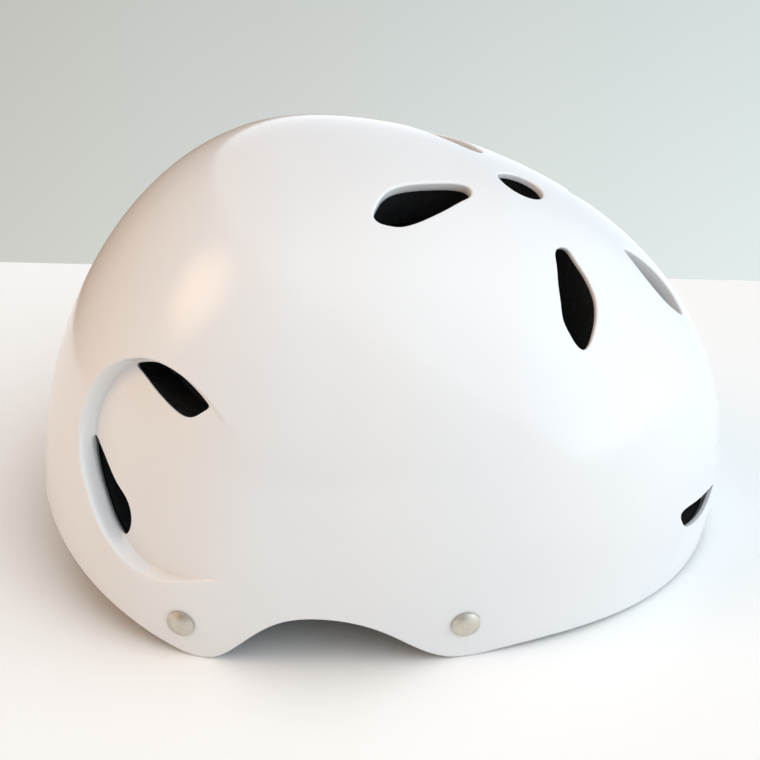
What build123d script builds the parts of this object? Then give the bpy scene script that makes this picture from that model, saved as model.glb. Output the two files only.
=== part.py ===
from build123d import *
from math import asin, cos, pi, radians, sin, sqrt
import os

# A hard-shell skateboard helmet standing on its own four lower lobes.
# Front is -Y, the wearer's left is +X, up is +Z, and the floor is z = 0. Millimetres.

# The dome: a sphere warped smoothly along y and z, so it is long and low in front and blunt behind.
HALF_WIDTH = 108.6
FRONT_REACH = 169.0
REAR_REACH = 88.5
CROWN_RISE = 123.0
SKIRT_DROP = 220.0
DOME_Y = 32.8
DOME_Z = 20.4
lean_share = -0.075
blend_share = 0.2
SKIRT_FLOOR = -12.0
grid_count = 33
sample_count = 30

# Moulded shell.
SHELL_WALL = 3.0
COLLAR_WALL = 1.8
COLLAR_DEPTH = 4.0
PRISM_OUT = 30.0
PRISM_IN = 40.0

# Lower edge of the shell in side view, as (y, z). The four lobes end in short flats on the floor.
EDGE_REAR = [(150.0, 29.0), (128.0, 26.0), (110.0, 22.0), (92.0, 16.0), (74.0, 9.4), (61.0, 4.4)]
REAR_LOBE_FLAT = (49.0, 41.0)
EDGE_ARCH = [(33.0, 6.0), (25.0, 13.5), (16.0, 19.0), (4.0, 20.6), (-8.0, 18.6), (-20.0, 12.8), (-30.0, 5.2)]
FRONT_LOBE_FLAT = (-41.0, -49.0)
EDGE_FRONT = [(-64.0, 1.5), (-84.0, 1.6), (-104.0, 0.9), (-118.0, 1.4), (-127.0, 3.0), (-145.0, 6.0)]
EDGE_MARGIN = 30.0

# Vents: where each sits on the dome, as degrees down from the crown and round from the front,
# and its outline in its own tangent plane, as (forward, up or inward).
VENT_A_PLACE = (24.8, 48.9)
VENT_A = [(-12.1, -7.8), (-12.3, -1.6), (-10.8, 3.5), (-8.0, 7.3), (-4.0, 10.2), (1.6, 13.0), (8.0, 15.8),
          (13.6, 17.6), (17.0, 17.2), (18.2, 14.0), (15.8, 9.8), (11.5, 4.3), (6.0, -1.8), (-1.0, -7.7), (-3.8, -9.0),
          (-7.6, -9.3), (-10.7, -8.8)]
VENT_B_PLACE = (47.0, 30.6)
VENT_B = [(-9.0, 17.6), (-7.6, 20.0), (-4.8, 20.8), (-2.4, 18.4), (-0.3, 15.6), (2.7, 12.0), (5.1, 8.2), (6.9, 4.3),
          (7.7, 0.1), (7.8, -5.1), (7.2, -10.0), (6.2, -13.6), (4.5, -15.4), (2.3, -14.9), (-1.1, -12.0), (-4.1, -8.4),
          (-6.0, -2.6), (-7.8, 5.6), (-8.7, 13.0)]
VENT_S_PLACE = (86.7, 17.1)
VENT_S = [(-12.8, 3.6), (-9.0, 4.2), (-2.7, 3.3), (6.4, 1.8), (14.1, -0.3), (18.6, -2.6), (13.0, -6.0), (5.0, -7.4),
          (-3.0, -6.6), (-8.6, -4.4), (-11.6, -0.8)]
VENT_C_PLACE = (29.0, 0.0)
VENT_C = [(-9.8, 0.0), (-7.2, 4.3), (-3.0, 6.7), (1.3, 7.1), (5.3, 5.4), (7.7, 0.0), (5.3, -5.4), (1.3, -7.1),
          (-3.0, -6.7), (-7.2, -4.3)]
VENT_R_PLACE = (52.9, 0.0)
VENT_R = [(-17.5, 0.0), (-13.0, 3.6), (-5.0, 6.6), (3.0, 7.4), (10.0, 5.2), (15.0, 0.0), (10.0, -5.2), (3.0, -7.4),
          (-5.0, -6.6), (-13.0, -3.6)]

# The C-shaped scoop on each side at the rear, with its two vents in the sunk floor.
SCOOP_PLACE = (71.5, 113.5)
SCOOP = [(-7.0, 35.6), (-18.2, 28.9), (-25.6, 18.6), (-27.9, 7.0), (-26.0, -3.0), (-20.6, -15.0), (-14.2, -25.0),
         (-6.0, -32.5), (3.5, -36.6), (14.0, -37.0), (27.0, -35.0), (42.0, -32.0), (54.0, -20.0), (58.0, -4.0),
         (50.0, 6.5), (44.5, 10.4), (34.0, 20.5), (27.4, 26.8), (16.6, 33.6), (5.0, 36.8)]
SCOOP_DEPTH = 7.5
SCOOP_FULL_Y = 80.0
SCOOP_FADE_Y = 36.0
VENT_V1 = [(-8.4, 33.0), (-4.0, 34.7), (5.0, 35.4), (15.8, 32.4), (22.3, 28.9), (26.2, 25.5), (24.6, 22.8),
           (21.2, 20.7), (18.0, 20.3), (14.6, 21.1), (8.3, 23.9), (1.0, 27.7), (-5.4, 31.2)]
VENT_V2 = [(-26.4, 5.2), (-23.2, 2.4), (-18.8, -2.4), (-13.1, -9.0), (-8.4, -13.5), (-6.8, -17.5), (-7.6, -23.4),
           (-10.2, -26.2), (-13.6, -23.6), (-19.2, -14.4), (-24.4, -3.4)]

# Foam liner, one pressing between the shell and the head.
LINER_GAP = 0.5
LINER_WALL = 21.0
LINER_HOLE_GROW = 2.7
LINER_EDGE = [(150.0, 36.0), (96.0, 31.0), (70.0, 28.0), (45.0, 26.5), (5.0, 28.5), (-45.0, 27.0), (-80.0, 19.0),
              (-110.0, 14.0), (-150.0, 14.0)]

# Pads and the hook patches that hold them.
PATCH_START = 0.3
PATCH_WALL = 0.7
PATCH_RADIUS = 9.0
PAD_START = 1.3
pad_square = 4
pad_margin_share = 1.14
pad_grid = 15

# Rivets and washers, as degrees down from the crown and round from the front.
RIVET_PLACES = [(91.6, 60.1), (92.0, 99.1)]
RIVET_HEAD_RADIUS = 5.0
RIVET_HEAD_START = 0.2
RIVET_HEAD_HEIGHT = 2.2
RIVET_HEAD_RIM = 0.6
RIVET_SHANK_RADIUS = 2.4
RIVET_HOLE_RADIUS = 2.75
RIVET_TAIL_START = 7.4
RIVET_TAIL_END = 8.4
RIVET_TAIL_RADIUS = 4.2
WASHER_RADIUS = 5.6
WASHER_START = 6.1
WASHER_END = 7.1

# Webbing.
WEB_WIDTH = 16.0
WEB_WALL = 1.5
WEB_GAP = 0.3
TAB_START = 4.2
TAB_ABOVE = 8.0
FLOOR_WEB_Z = 1.6

TAB_DROP = 6.0
BEND = [(0.9, 4.8), (3.2, 2.7), (7.0, 2.3)]
SIDE_RISE = [(0.4, 9.0), (0.62, 12.0), (0.8, 8.0)]
BAR_REACH = 5.0
web_count = 34
REAR_TURN = (21.0, 42.0)
FRONT_TURN = (20.0, 60.0)
FRONT_ROUTE = [(-93.4, -24.0, 13.0), (-89.6, -9.0, 11.0), (-83.6, 2.4, 9.6)]

# Strap divider: a flat frame with three slots and a cam lever on top.
DIVIDER_CENTRE = (-70.0, 24.0)
DIVIDER_BOTTOM = 1.6
DIVIDER_TOP = 5.2
DIVIDER_OUTLINE = [(-17.0, -3.0), (-17.0, 5.0), (-2.0, 22.0), (5.0, 22.0), (16.0, 4.0), (16.0, -2.0), (7.0, -21.0),
                   (-1.0, -21.0)]
DIVIDER_ROUND = 2.5
DIVIDER_EDGE = 0.8
SLOT_LENGTH = 17.0
SLOT_WIDTH = 3.6
REAR_SLOT = (-6.5, 10.0)
FRONT_SLOT = (-6.0, -9.0)
INNER_SLOT = (8.6, 0.0)

# Cam lever on each divider, turning on ears of the frame.
EAR_SPAN = 9.6
EAR_WALL = 1.6
EAR_LENGTH = 4.4
EAR_TOP = 9.2
AXLE_RADIUS = 1.2
AXLE_CLEARANCE = 0.05
AXLE_Z = 7.2
AXLE_X = 1.4
LEVER_LENGTH = 10.0
LEVER_WALL = 1.8
LEVER_GAP = 0.4
CAM_RADIUS = 1.7

# Side-release buckle, its axis along x, lying on the floor between the dividers.
BUCKLE_Y = 24.0
BUCKLE_BOTTOM = 0.8
BUCKLE_TOP = 8.8
SOCKET_END = -30.0
SOCKET_MOUTH = -4.0
SOCKET_HALF_WIDTH = 12.5
SOCKET_WALL = 1.5
SOCKET_BACK = -22.0
SOCKET_ROUND = 2.2
WINDOW_START = -19.4
WINDOW_END = -9.4
PLUG_CLEARANCE = 0.35
PRONG_WIDTH = 3.4
PRONG_TIP = -20.6
HOOK_START = -17.8
HOOK_END = -10.0
HOOK_OUT = 2.2
GUIDE_HALF = 1.6
GUIDE_TIP = -19.0
PLUG_START = -3.4
PLUG_STEP = 3.0
PLUG_END = 12.0
PLUG_BOTTOM = 1.2
PLUG_TOP = 8.4
FRAME_BOTTOM = 4.7
BAR_GAP = 3.4
BAR_WIDTH = 2.4
ARCH_HIGH = 38.0
ARCH_SHOULDER = 26.0
ARCH_LEAN = 3.0
ARCH_SPAN = 22.0
arch_count = 44

# Slider that holds the loose end of the chin strap.
LOW_WEB_Z = 3.2
TAIL_Z = 5.3
TAIL_END = 31.0
TAIL_BEND = [(14.8, 6.8), (12.9, 8.9)]
KEEPER_START = 17.5
KEEPER_LENGTH = 5.0
KEEPER_WALL = 1.2
KEEPER_CLEARANCE = 0.35
STRAIGHT_END = 33.0


def swell(q, mean, skew):
    return mean * q - skew * (sqrt(q * q + blend_share * blend_share) - blend_share)


def unswell(v, mean, skew):
    a = v - skew * blend_share
    k = mean * mean - skew * skew
    return (mean * a + skew * sqrt(a * a + blend_share * blend_share * k)) / k


def y_terms(inset):
    return (FRONT_REACH + REAR_REACH) / 2 - inset, (FRONT_REACH - REAR_REACH) / 2


def z_terms(inset):
    return (CROWN_RISE + SKIRT_DROP - inset) / 2, (SKIRT_DROP - CROWN_RISE + inset) / 2


def dome_point(d, inset, sink=0.0):
    # d is a direction on the unit sphere; sink pulls the wall in sideways only.
    mean_y, skew_y = y_terms(inset + sink)
    mean_z, skew_z = z_terms(inset)
    rise = swell(d[2], mean_z, skew_z)
    x = (HALF_WIDTH - inset - sink) * d[0]
    y = DOME_Y + swell(d[1], mean_y, skew_y) + lean_share * rise
    return Vector(x, y, DOME_Z + rise)


def unit(v):
    n = sqrt(sum(c * c for c in v))
    return tuple(c / n for c in v)


def toward(place):
    tilt, turn = radians(place[0]), radians(place[1])
    return (-sin(tilt) * sin(turn), -sin(tilt) * cos(turn), cos(tilt))


def outward(d):
    # Gradient of the warped sphere at direction d, on the outer surface.
    mean_y, skew_y = y_terms(0)
    mean_z, skew_z = z_terms(0)
    slope_y = mean_y - skew_y * d[1] / sqrt(d[1] ** 2 + blend_share ** 2)
    slope_z = mean_z - skew_z * d[2] / sqrt(d[2] ** 2 + blend_share ** 2)
    gy = d[1] / slope_y
    return unit((d[0] / HALF_WIDTH, gy, d[2] / slope_z - lean_share * gy))


def tangent_plane(place, inset=0.0):
    d = toward(place)
    n = Vector(*outward(d))
    forward = Vector(0, -1, 0)
    along = (forward - n * n.dot(forward)).normalized()
    return Plane(origin=dome_point(d, inset), x_dir=along, z_dir=n)


def scoop_sink(p):
    # Depth of the scoop's floor below the dome: full at the rear, running out forward.
    t = (p.Y - SCOOP_FADE_Y) / (SCOOP_FULL_Y - SCOOP_FADE_Y)
    return SCOOP_DEPTH * sin(max(-1, min(t, 1)) * pi / 2)


def dome_body(inset, scooped=False):
    mean_z, skew_z = z_terms(inset)
    lowest = unswell(SKIRT_FLOOR - DOME_Z, mean_z, skew_z)
    rows = []
    for i in range(grid_count):
        u = 2 * i / (grid_count - 1) - 1
        row = []
        for j in range(grid_count):
            v = 2 * j / (grid_count - 1) - 1
            px = u * sqrt(1 - v * v / 2)
            py = v * sqrt(1 - u * u / 2)
            r = min(sqrt(px * px + py * py), 1)
            # Even steps in angle from crown to skirt.
            edge = pi / 2 + asin(-lowest)
            tilt = r * edge
            k = sin(tilt) / r if r > 0 else 0
            d = (px * k, py * k, cos(tilt))
            sink = scoop_sink(dome_point(d, 0)) if scooped else 0
            row.append(dome_point(d, inset, sink))
        rows.append(row)
    skin = Face.make_surface_from_array_of_points(rows, tol=0.01, min_deg=3, max_deg=5)
    base = Face(Wire(skin.outer_wire().edges()))
    return Solid(Shell(Face.sew_faces([skin, base])[0]))



def grown(points, grow):
    # The smooth closed curve through the points, moved outward by grow.
    base = Spline(*points, periodic=True)
    steps = [i / sample_count for i in range(sample_count)]
    ring = [base @ t for t in steps]
    ways = [base % t for t in steps]
    area = sum(p.X * q.Y - q.X * p.Y for p, q in zip(ring, ring[1:] + ring[:1]))
    turn = grow if area > 0 else -grow
    return [(p.X + turn * w.Y, p.Y - turn * w.X) for p, w in zip(ring, ways)]


def outline_face(points, plane, grow=0.0):
    if grow:
        points = grown(points, grow)
    with BuildSketch(plane) as sk:
        with BuildLine():
            Spline(*points, periodic=True)
        make_face()
    return sk.sketch


def prism(face, plane, out=PRISM_OUT, into=PRISM_IN):
    n = plane.z_dir
    return Solid.extrude(face.faces()[0].moved(Location(n * -into)), n * (out + into))


def both(shape):
    return [shape, shape.mirror(Plane.YZ)]


def below(points_chain):
    # Everything under a side-view curve, right through the helmet.
    with BuildSketch(Plane.YZ) as sk:
        with BuildLine():
            for piece in points_chain:
                Spline(*piece) if len(piece) > 2 else Line(*piece)
            first, last = points_chain[0][0], points_chain[-1][-1]
            Polyline(last, (last[0], -EDGE_MARGIN), (first[0], -EDGE_MARGIN), first)
        make_face()
    wide = HALF_WIDTH + EDGE_MARGIN
    return Solid.extrude(sk.sketch.faces()[0].moved(Location((-wide, 0, 0))), Vector(2 * wide, 0, 0))


def one(shape):
    # Booleans may come back as a list or a compound; keep its solids as one compound.
    found = shape.solids() if hasattr(shape, "solids") else [s for x in shape for s in x.solids()]
    return found[0] if len(found) == 1 else Compound(children=list(found))


def cut(body, tools):
    return one(body - tools)


plane_a = tangent_plane(VENT_A_PLACE)
plane_b = tangent_plane(VENT_B_PLACE)
plane_s = tangent_plane(VENT_S_PLACE)
plane_c = tangent_plane(VENT_C_PLACE)
plane_r = tangent_plane(VENT_R_PLACE)
plane_scoop = tangent_plane(SCOOP_PLACE)

paired_vents = [(VENT_A, plane_a), (VENT_B, plane_b), (VENT_S, plane_s)]
single_vents = [(VENT_C, plane_c), (VENT_R, plane_r)]
scoop_vents = [(VENT_V1, plane_scoop), (VENT_V2, plane_scoop)]


def vent_prisms(grow=0.0):
    found = []
    for points, plane in paired_vents + scoop_vents:
        found += both(prism(outline_face(points, plane, grow), plane))
    for points, plane in single_vents:
        found.append(prism(outline_face(points, plane, grow), plane))
    return found


def sunk_out(inset, grow):
    # What the scoop takes from a dome at this inset, on both sides.
    tool = one(prism(outline_face(SCOOP, plane_scoop, grow), plane_scoop) - dome_body(inset, True))
    return both(tool)


# Shell: outer dome less scoops, hollowed by the same form one wall further in.
outer = cut(dome_body(0), sunk_out(0, 0))
inner = cut(dome_body(SHELL_WALL), sunk_out(SHELL_WALL, SHELL_WALL))

# Collars turned in round every vent stay as material when the hollow is taken out.
rings = []
for points, plane in paired_vents:
    rings += both(prism(outline_face(points, plane, COLLAR_WALL), plane))
for points, plane in single_vents:
    rings.append(prism(outline_face(points, plane, COLLAR_WALL), plane))
scoop_rings = []
for points, plane in scoop_vents:
    scoop_rings += both(prism(outline_face(points, plane, COLLAR_WALL), plane))
collars = one(Compound(children=rings) - dome_body(COLLAR_DEPTH))
scoop_collars = one(Compound(children=scoop_rings) - dome_body(COLLAR_DEPTH, True))
hollow = cut(inner, [collars, scoop_collars])
shell = cut(outer, [hollow])

edge_curve = below([EDGE_REAR + [(REAR_LOBE_FLAT[0], 0)], [(REAR_LOBE_FLAT[0], 0), (REAR_LOBE_FLAT[1], 0)],
                    [(REAR_LOBE_FLAT[1], 0)] + EDGE_ARCH + [(FRONT_LOBE_FLAT[0], 0)],
                    [(FRONT_LOBE_FLAT[0], 0), (FRONT_LOBE_FLAT[1], 0)], [(FRONT_LOBE_FLAT[1], 0)] + EDGE_FRONT])


# Rivets through the lobes, each with its washer inside; the strap tabs sit between.
rivet_planes = [tangent_plane(place) for place in RIVET_PLACES]


def barrel(plane, radius, start, end):
    # A round bar along the plane's normal, start and end counted inward from the dome.
    disc = (plane * Circle(radius)).faces()[0]
    n = plane.z_dir
    return Solid.extrude(disc.moved(Location(n * -end)), n * (end - start))


def domed_head(plane):
    # A shallow cap over a short straight rim, turned about the rivet's axis.
    top = RIVET_HEAD_START + RIVET_HEAD_HEIGHT
    side = RIVET_HEAD_START + RIVET_HEAD_RIM
    rise = top - side
    ball = (RIVET_HEAD_RADIUS ** 2 + rise ** 2) / (2 * rise)
    half_turn = asin(RIVET_HEAD_RADIUS / ball) / 2
    shoulder = (ball * sin(half_turn), top - ball + ball * cos(half_turn))
    with BuildSketch(Plane.XZ) as sk:
        with BuildLine():
            Polyline((0, top), (0, RIVET_HEAD_START), (RIVET_HEAD_RADIUS, RIVET_HEAD_START), (RIVET_HEAD_RADIUS, side))
            ThreePointArc((RIVET_HEAD_RADIUS, side), shoulder, (0, top))
        make_face()
    cap = revolve(sk.sketch, Axis.Z)
    return plane.location * cap.solids()[0]


rivets = []
washers = []
for plane in rivet_planes:
    head = domed_head(plane)
    shank = barrel(plane, RIVET_SHANK_RADIUS, -RIVET_HEAD_START - RIVET_HEAD_RIM, RIVET_TAIL_END - RIVET_HEAD_RIM)
    tail = barrel(plane, RIVET_TAIL_RADIUS, RIVET_TAIL_START, RIVET_TAIL_END)
    rivets += both(one(head.fuse(shank, tail)))
    washer = cut(barrel(plane, WASHER_RADIUS, WASHER_START, WASHER_END),
                 [barrel(plane, RIVET_HOLE_RADIUS, WASHER_START - WASHER_RADIUS, WASHER_END + WASHER_RADIUS)])
    washers += both(washer)
rivet_holes = []
for plane in rivet_planes:
    rivet_holes += both(barrel(plane, RIVET_HOLE_RADIUS, -WASHER_RADIUS, WASHER_RADIUS + WASHER_END))

shell = cut(shell, [edge_curve] + vent_prisms() + rivet_holes)

# Foam liner.
liner_start = SHELL_WALL + LINER_GAP
liner_end = liner_start + LINER_WALL
liner_out = cut(dome_body(liner_start), sunk_out(liner_start, liner_start))
liner = cut(liner_out, [dome_body(liner_end), below([LINER_EDGE])] + vent_prisms(LINER_HOLE_GROW))

# Pads: a cushion crowned toward the head, cut off by the face that meets the liner.
pad_seat = dome_body(liner_end + PAD_START)


def cushion(place, reach_up, reach_round, thickness):
    c = Vector(*toward(place))
    across = Vector(0, 0, 1).cross(c)
    across = across.normalized() if across.length > blend_share else Vector(1, 0, 0)
    upward = c.cross(across)
    rows = []
    for i in range(pad_grid):
        a = pad_margin_share * (2 * i / (pad_grid - 1) - 1)
        row = []
        for j in range(pad_grid):
            b = pad_margin_share * (2 * j / (pad_grid - 1) - 1)
            round_by = radians(reach_round) * b
            d = c * cos(round_by) + across * sin(round_by)
            d = d * cos(radians(reach_up) * a) + upward * sin(radians(reach_up) * a)
            crown = 1 - abs(a) ** pad_square - abs(b) ** pad_square
            row.append(dome_point((d.X, d.Y, d.Z), liner_end + PAD_START + thickness * crown))
        rows.append(row)
    skin = Face.make_surface_from_array_of_points(rows, tol=0.02, min_deg=3, max_deg=5)
    push = c * (PRISM_OUT + PRISM_IN)
    return one(Solid.extrude(skin, push) & pad_seat)


PADS = {
    "brow_pad": ((79.0, 0.0), 11.0, 52.0, 9.0),
    "rear_pad": ((77.0, 180.0), 13.0, 38.0, 9.0),
    "side_pad_right": ((66.0, 97.0), 15.0, 24.0, 8.0),
    "crown_pad": ((9.0, 180.0), 15.0, 24.0, 7.0),
}
pads = {name: cushion(*sizes) for name, sizes in PADS.items()}
pads["side_pad_left"] = pads["side_pad_right"].mirror(Plane.YZ)

# Hook patches, thin discs on the liner behind the pads.
patch_band = one(dome_body(liner_end + PATCH_START) - dome_body(liner_end + PATCH_START + PATCH_WALL))
PATCH_PLACES = [(79.0, 24.0), (76.0, 158.0), (66.0, 84.0), (66.0, 110.0)]
PATCH_CENTRES = [(79.0, 0.0), (6.0, 0.0), (14.0, 180.0)]
discs = []
for place in PATCH_PLACES:
    discs += both(barrel(tangent_plane(place), PATCH_RADIUS, 0, PRISM_IN))
for place in PATCH_CENTRES:
    discs.append(barrel(tangent_plane(place), PATCH_RADIUS, 0, PRISM_IN))
patches = list((Compound(children=discs) & patch_band).solids())


def webbing(points, side_a, side_b, turn_from, turn_to, count, width=WEB_WIDTH, wall=WEB_WALL):
    # A flat strap along a smooth curve; its across direction turns from side_a to side_b on the way.
    curve = Spline(*points)
    wires = []
    for i in range(count):
        t = i / (count - 1)
        run = curve % t
        mix = min(max((t - turn_from) / (turn_to - turn_from), 0), 1)
        side = side_a * (1 - mix) + side_b * mix
        side = (side - run * run.dot(side)).normalized()
        wires.append((Plane(origin=curve @ t, x_dir=side, z_dir=run) * Rectangle(width, wall)).faces()[0].outer_wire())
    return Solid.make_loft(wires, False)


# Side straps hang on the rivets. The rear one drops down the wall and in over the floor;
# the front one runs back along the wall on edge and turns flat. Both end in the divider's slots.
dx, dy = DIVIDER_CENTRE
seat = TAB_START + WEB_WALL / 2


def slot_end(slot):
    return Vector(dx + slot[0], dy + slot[1], 0)


def through_slot(end, run):
    return [end - run * BAR_REACH + Vector(0, 0, DIVIDER_TOP + 2 * WEB_WALL),
            end - run * WEB_WALL / 2 + Vector(0, 0, DIVIDER_TOP + WEB_WALL),
            end + Vector(0, 0, (DIVIDER_TOP + DIVIDER_BOTTOM) / 2),
            end + Vector(0, 0, DIVIDER_BOTTOM - WEB_WALL / 2)]


def flat_run(start, end):
    return Vector(end.X - start.X, end.Y - start.Y, 0).normalized()


front_plane, rear_plane = rivet_planes
rear_tab = rear_plane.origin - rear_plane.z_dir * seat
rear_low = rear_tab - rear_plane.y_dir * TAB_DROP
rear_run = flat_run(rear_low, slot_end(REAR_SLOT))
front_run = flat_run(Vector(*FRONT_ROUTE[-1]), slot_end(FRONT_SLOT))


def strap(points, plane, side_a, run, turn):
    side_b = Vector(-run.Y, run.X, 0)
    side_a = side_a if side_a.dot(side_b) > 0 else -side_a
    whole = Spline(*points).length
    made = webbing(points, side_a, side_b, turn[0] / whole, turn[1] / whole, web_count)
    return cut(made, [barrel(plane, RIVET_HOLE_RADIUS, 0, WASHER_END + WASHER_RADIUS)])


foot = Vector(rear_low.X, rear_low.Y, 0)
reach = (slot_end(REAR_SLOT) - foot).length
rear_points = [rear_tab + rear_plane.y_dir * TAB_ABOVE, rear_tab, rear_low]
rear_points += [foot + rear_run * into + Vector(0, 0, z) for into, z in BEND]
rear_points += [foot + rear_run * (reach * share) + Vector(0, 0, FLOOR_WEB_Z + up) for share, up in SIDE_RISE]
rear_points += through_slot(slot_end(REAR_SLOT), rear_run)
strap_rear_right = strap(rear_points, rear_plane, rear_plane.x_dir, rear_run, REAR_TURN)

front_tab = front_plane.origin - front_plane.z_dir * seat
front_points = [front_tab + front_plane.x_dir * TAB_ABOVE, front_tab, front_tab - front_plane.x_dir * TAB_ABOVE]
front_points += [Vector(*at) for at in FRONT_ROUTE] + through_slot(slot_end(FRONT_SLOT), front_run)
strap_front_right = strap(front_points, front_plane, front_plane.y_dir, front_run, FRONT_TURN)

# Divider frame with its three slots, and the ears that carry the cam lever.
with BuildSketch() as sk:
    with Locations((dx, dy)):
        with BuildLine():
            Polyline(*[(dx + x, dy + y) for x, y in DIVIDER_OUTLINE], close=True)
    make_face()
    fillet(sk.vertices(), DIVIDER_ROUND)
frame_face = sk.sketch.faces()[0].moved(Location((0, 0, DIVIDER_BOTTOM)))
divider = Solid.extrude(frame_face, Vector(0, 0, DIVIDER_TOP - DIVIDER_BOTTOM))
divider = divider.chamfer(DIVIDER_EDGE, None, divider.faces().sort_by(Axis.Z)[-1].outer_wire().edges())


def slot_tool(slot, across):
    turn = Vector(1, 0, 0).get_signed_angle(across, Vector(0, 0, 1))
    return Location(slot_end(slot), (0, 0, turn)) * Box(SLOT_LENGTH, SLOT_WIDTH, 4 * DIVIDER_TOP)


slots = [slot_tool(FRONT_SLOT, Vector(-front_run.Y, front_run.X, 0)),
         slot_tool(REAR_SLOT, Vector(-rear_run.Y, rear_run.X, 0)),
         slot_tool(INNER_SLOT, Vector(0, 1, 0))]
ears = []
for sign in (1, -1):
    y0 = dy + sign * (EAR_SPAN / 2 + EAR_WALL / 2)
    ears.append(Pos(dx + AXLE_X, y0, (EAR_TOP + DIVIDER_BOTTOM) / 2) * Box(EAR_LENGTH, EAR_WALL, EAR_TOP - DIVIDER_BOTTOM))
axle_bore = Location((dx + AXLE_X, dy, AXLE_Z), (90, 0, 0)) * Cylinder(AXLE_RADIUS + AXLE_CLEARANCE, 4 * EAR_SPAN)
divider_right = cut(divider.fuse(*ears), slots + [axle_bore])

# Cam lever: a flat thumb piece on a round cam, with an axle through the ears.
lever_width = EAR_SPAN - 2 * LEVER_GAP
axle = Location((dx + AXLE_X, dy, AXLE_Z), (90, 0, 0)) * Cylinder(AXLE_RADIUS, EAR_SPAN + 2 * EAR_WALL)
cam = Location((dx + AXLE_X, dy, AXLE_Z), (90, 0, 0)) * Cylinder(CAM_RADIUS, lever_width)
blade = Pos(dx + AXLE_X - LEVER_LENGTH / 2, dy, AXLE_Z + CAM_RADIUS - LEVER_WALL / 2) * Box(
    LEVER_LENGTH, lever_width, LEVER_WALL)
blade = blade.fillet(LEVER_WALL / 2 - WEB_GAP, blade.edges().group_by(Axis.X)[0].filter_by(Axis.Y))
lever_right = one(cam.fuse(axle, blade))

# Buckle socket: a flat box open toward +X, with a window in each side and a bar at the back for the strap.
mid_z = (BUCKLE_BOTTOM + BUCKLE_TOP) / 2
height = BUCKLE_TOP - BUCKLE_BOTTOM
length = SOCKET_MOUTH - SOCKET_END
socket = Pos((SOCKET_MOUTH + SOCKET_END) / 2, BUCKLE_Y, mid_z) * Box(length, 2 * SOCKET_HALF_WIDTH, height)
socket = socket.fillet(SOCKET_ROUND, socket.edges().filter_by(Axis.X))
room_z = height - 2 * SOCKET_WALL
room = Pos((SOCKET_MOUTH + SOCKET_BACK) / 2 + SOCKET_WALL, BUCKLE_Y, mid_z) * Box(
    SOCKET_MOUTH - SOCKET_BACK + 2 * SOCKET_WALL, 2 * (SOCKET_HALF_WIDTH - SOCKET_WALL), room_z)
window = Pos((WINDOW_START + WINDOW_END) / 2, BUCKLE_Y, mid_z) * Box(
    WINDOW_END - WINDOW_START, 4 * SOCKET_HALF_WIDTH, room_z)
bar_slot_x = SOCKET_END + BAR_WIDTH + BAR_GAP / 2
bar_slot = Pos(bar_slot_x, BUCKLE_Y, mid_z) * Box(BAR_GAP, SLOT_LENGTH, 2 * height)
buckle_socket = cut(socket, [room, window, bar_slot])

# Buckle plug: two prongs with side hooks, a centre guide, and a frame with one bar for the strap.
prong_z = room_z - 2 * PLUG_CLEARANCE
hook_y = SOCKET_HALF_WIDTH - SOCKET_WALL - PLUG_CLEARANCE
prong_y = hook_y - PRONG_WIDTH / 2


def block(x0, x1, y0, y1, z0, z1):
    return Pos((x0 + x1) / 2, BUCKLE_Y + (y0 + y1) / 2, (z0 + z1) / 2) * Box(x1 - x0, abs(y1 - y0), z1 - z0)


low_z, high_z = mid_z - prong_z / 2, mid_z + prong_z / 2
body = block(PLUG_START, PLUG_END, -SOCKET_HALF_WIDTH, SOCKET_HALF_WIDTH, PLUG_BOTTOM, PLUG_TOP)
body = body.fillet(SOCKET_ROUND, body.edges().filter_by(Axis.Z))
under = block(PLUG_STEP, PLUG_END + BAR_GAP, -2 * SOCKET_HALF_WIDTH, 2 * SOCKET_HALF_WIDTH, 0, FRAME_BOTTOM)
body = cut(body, [under])
bar_x = PLUG_END - BAR_WIDTH - BAR_GAP / 2
plug_slot = block(bar_x - BAR_GAP / 2, bar_x + BAR_GAP / 2, -SLOT_LENGTH / 2, SLOT_LENGTH / 2, 0, 2 * PLUG_TOP)
pieces = [block(GUIDE_TIP, PLUG_START + SOCKET_WALL, -GUIDE_HALF, GUIDE_HALF, low_z, high_z)]
for sign in (1, -1):
    pieces.append(block(PRONG_TIP, PLUG_START + SOCKET_ROUND, sign * (prong_y - PRONG_WIDTH / 2),
                        sign * (prong_y + PRONG_WIDTH / 2), low_z, high_z))
    with BuildSketch() as hook:
        with BuildLine():
            Polyline((HOOK_START - HOOK_OUT, BUCKLE_Y + sign * prong_y),
                     (HOOK_START, BUCKLE_Y + sign * (hook_y + HOOK_OUT)),
                     (HOOK_END, BUCKLE_Y + sign * (hook_y + HOOK_OUT)),
                     (HOOK_END, BUCKLE_Y + sign * prong_y), close=True)
        make_face()
    pieces.append(Solid.extrude(hook.sketch.faces()[0].moved(Location((0, 0, low_z))), Vector(0, 0, prong_z)))
buckle_plug = cut(body.fuse(*pieces), [plug_slot])

# Chin straps stand up in an arch, pushed into the helmet. The right one ends on the socket's bar.
inner = Vector(dx + INNER_SLOT[0], dy + INNER_SLOT[1], 0)
slot_mid = (DIVIDER_TOP + DIVIDER_BOTTOM) / 2
across_y = Vector(0, 1, 0)


def lift(x, z):
    return Vector(x, BUCKLE_Y, z)


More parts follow.
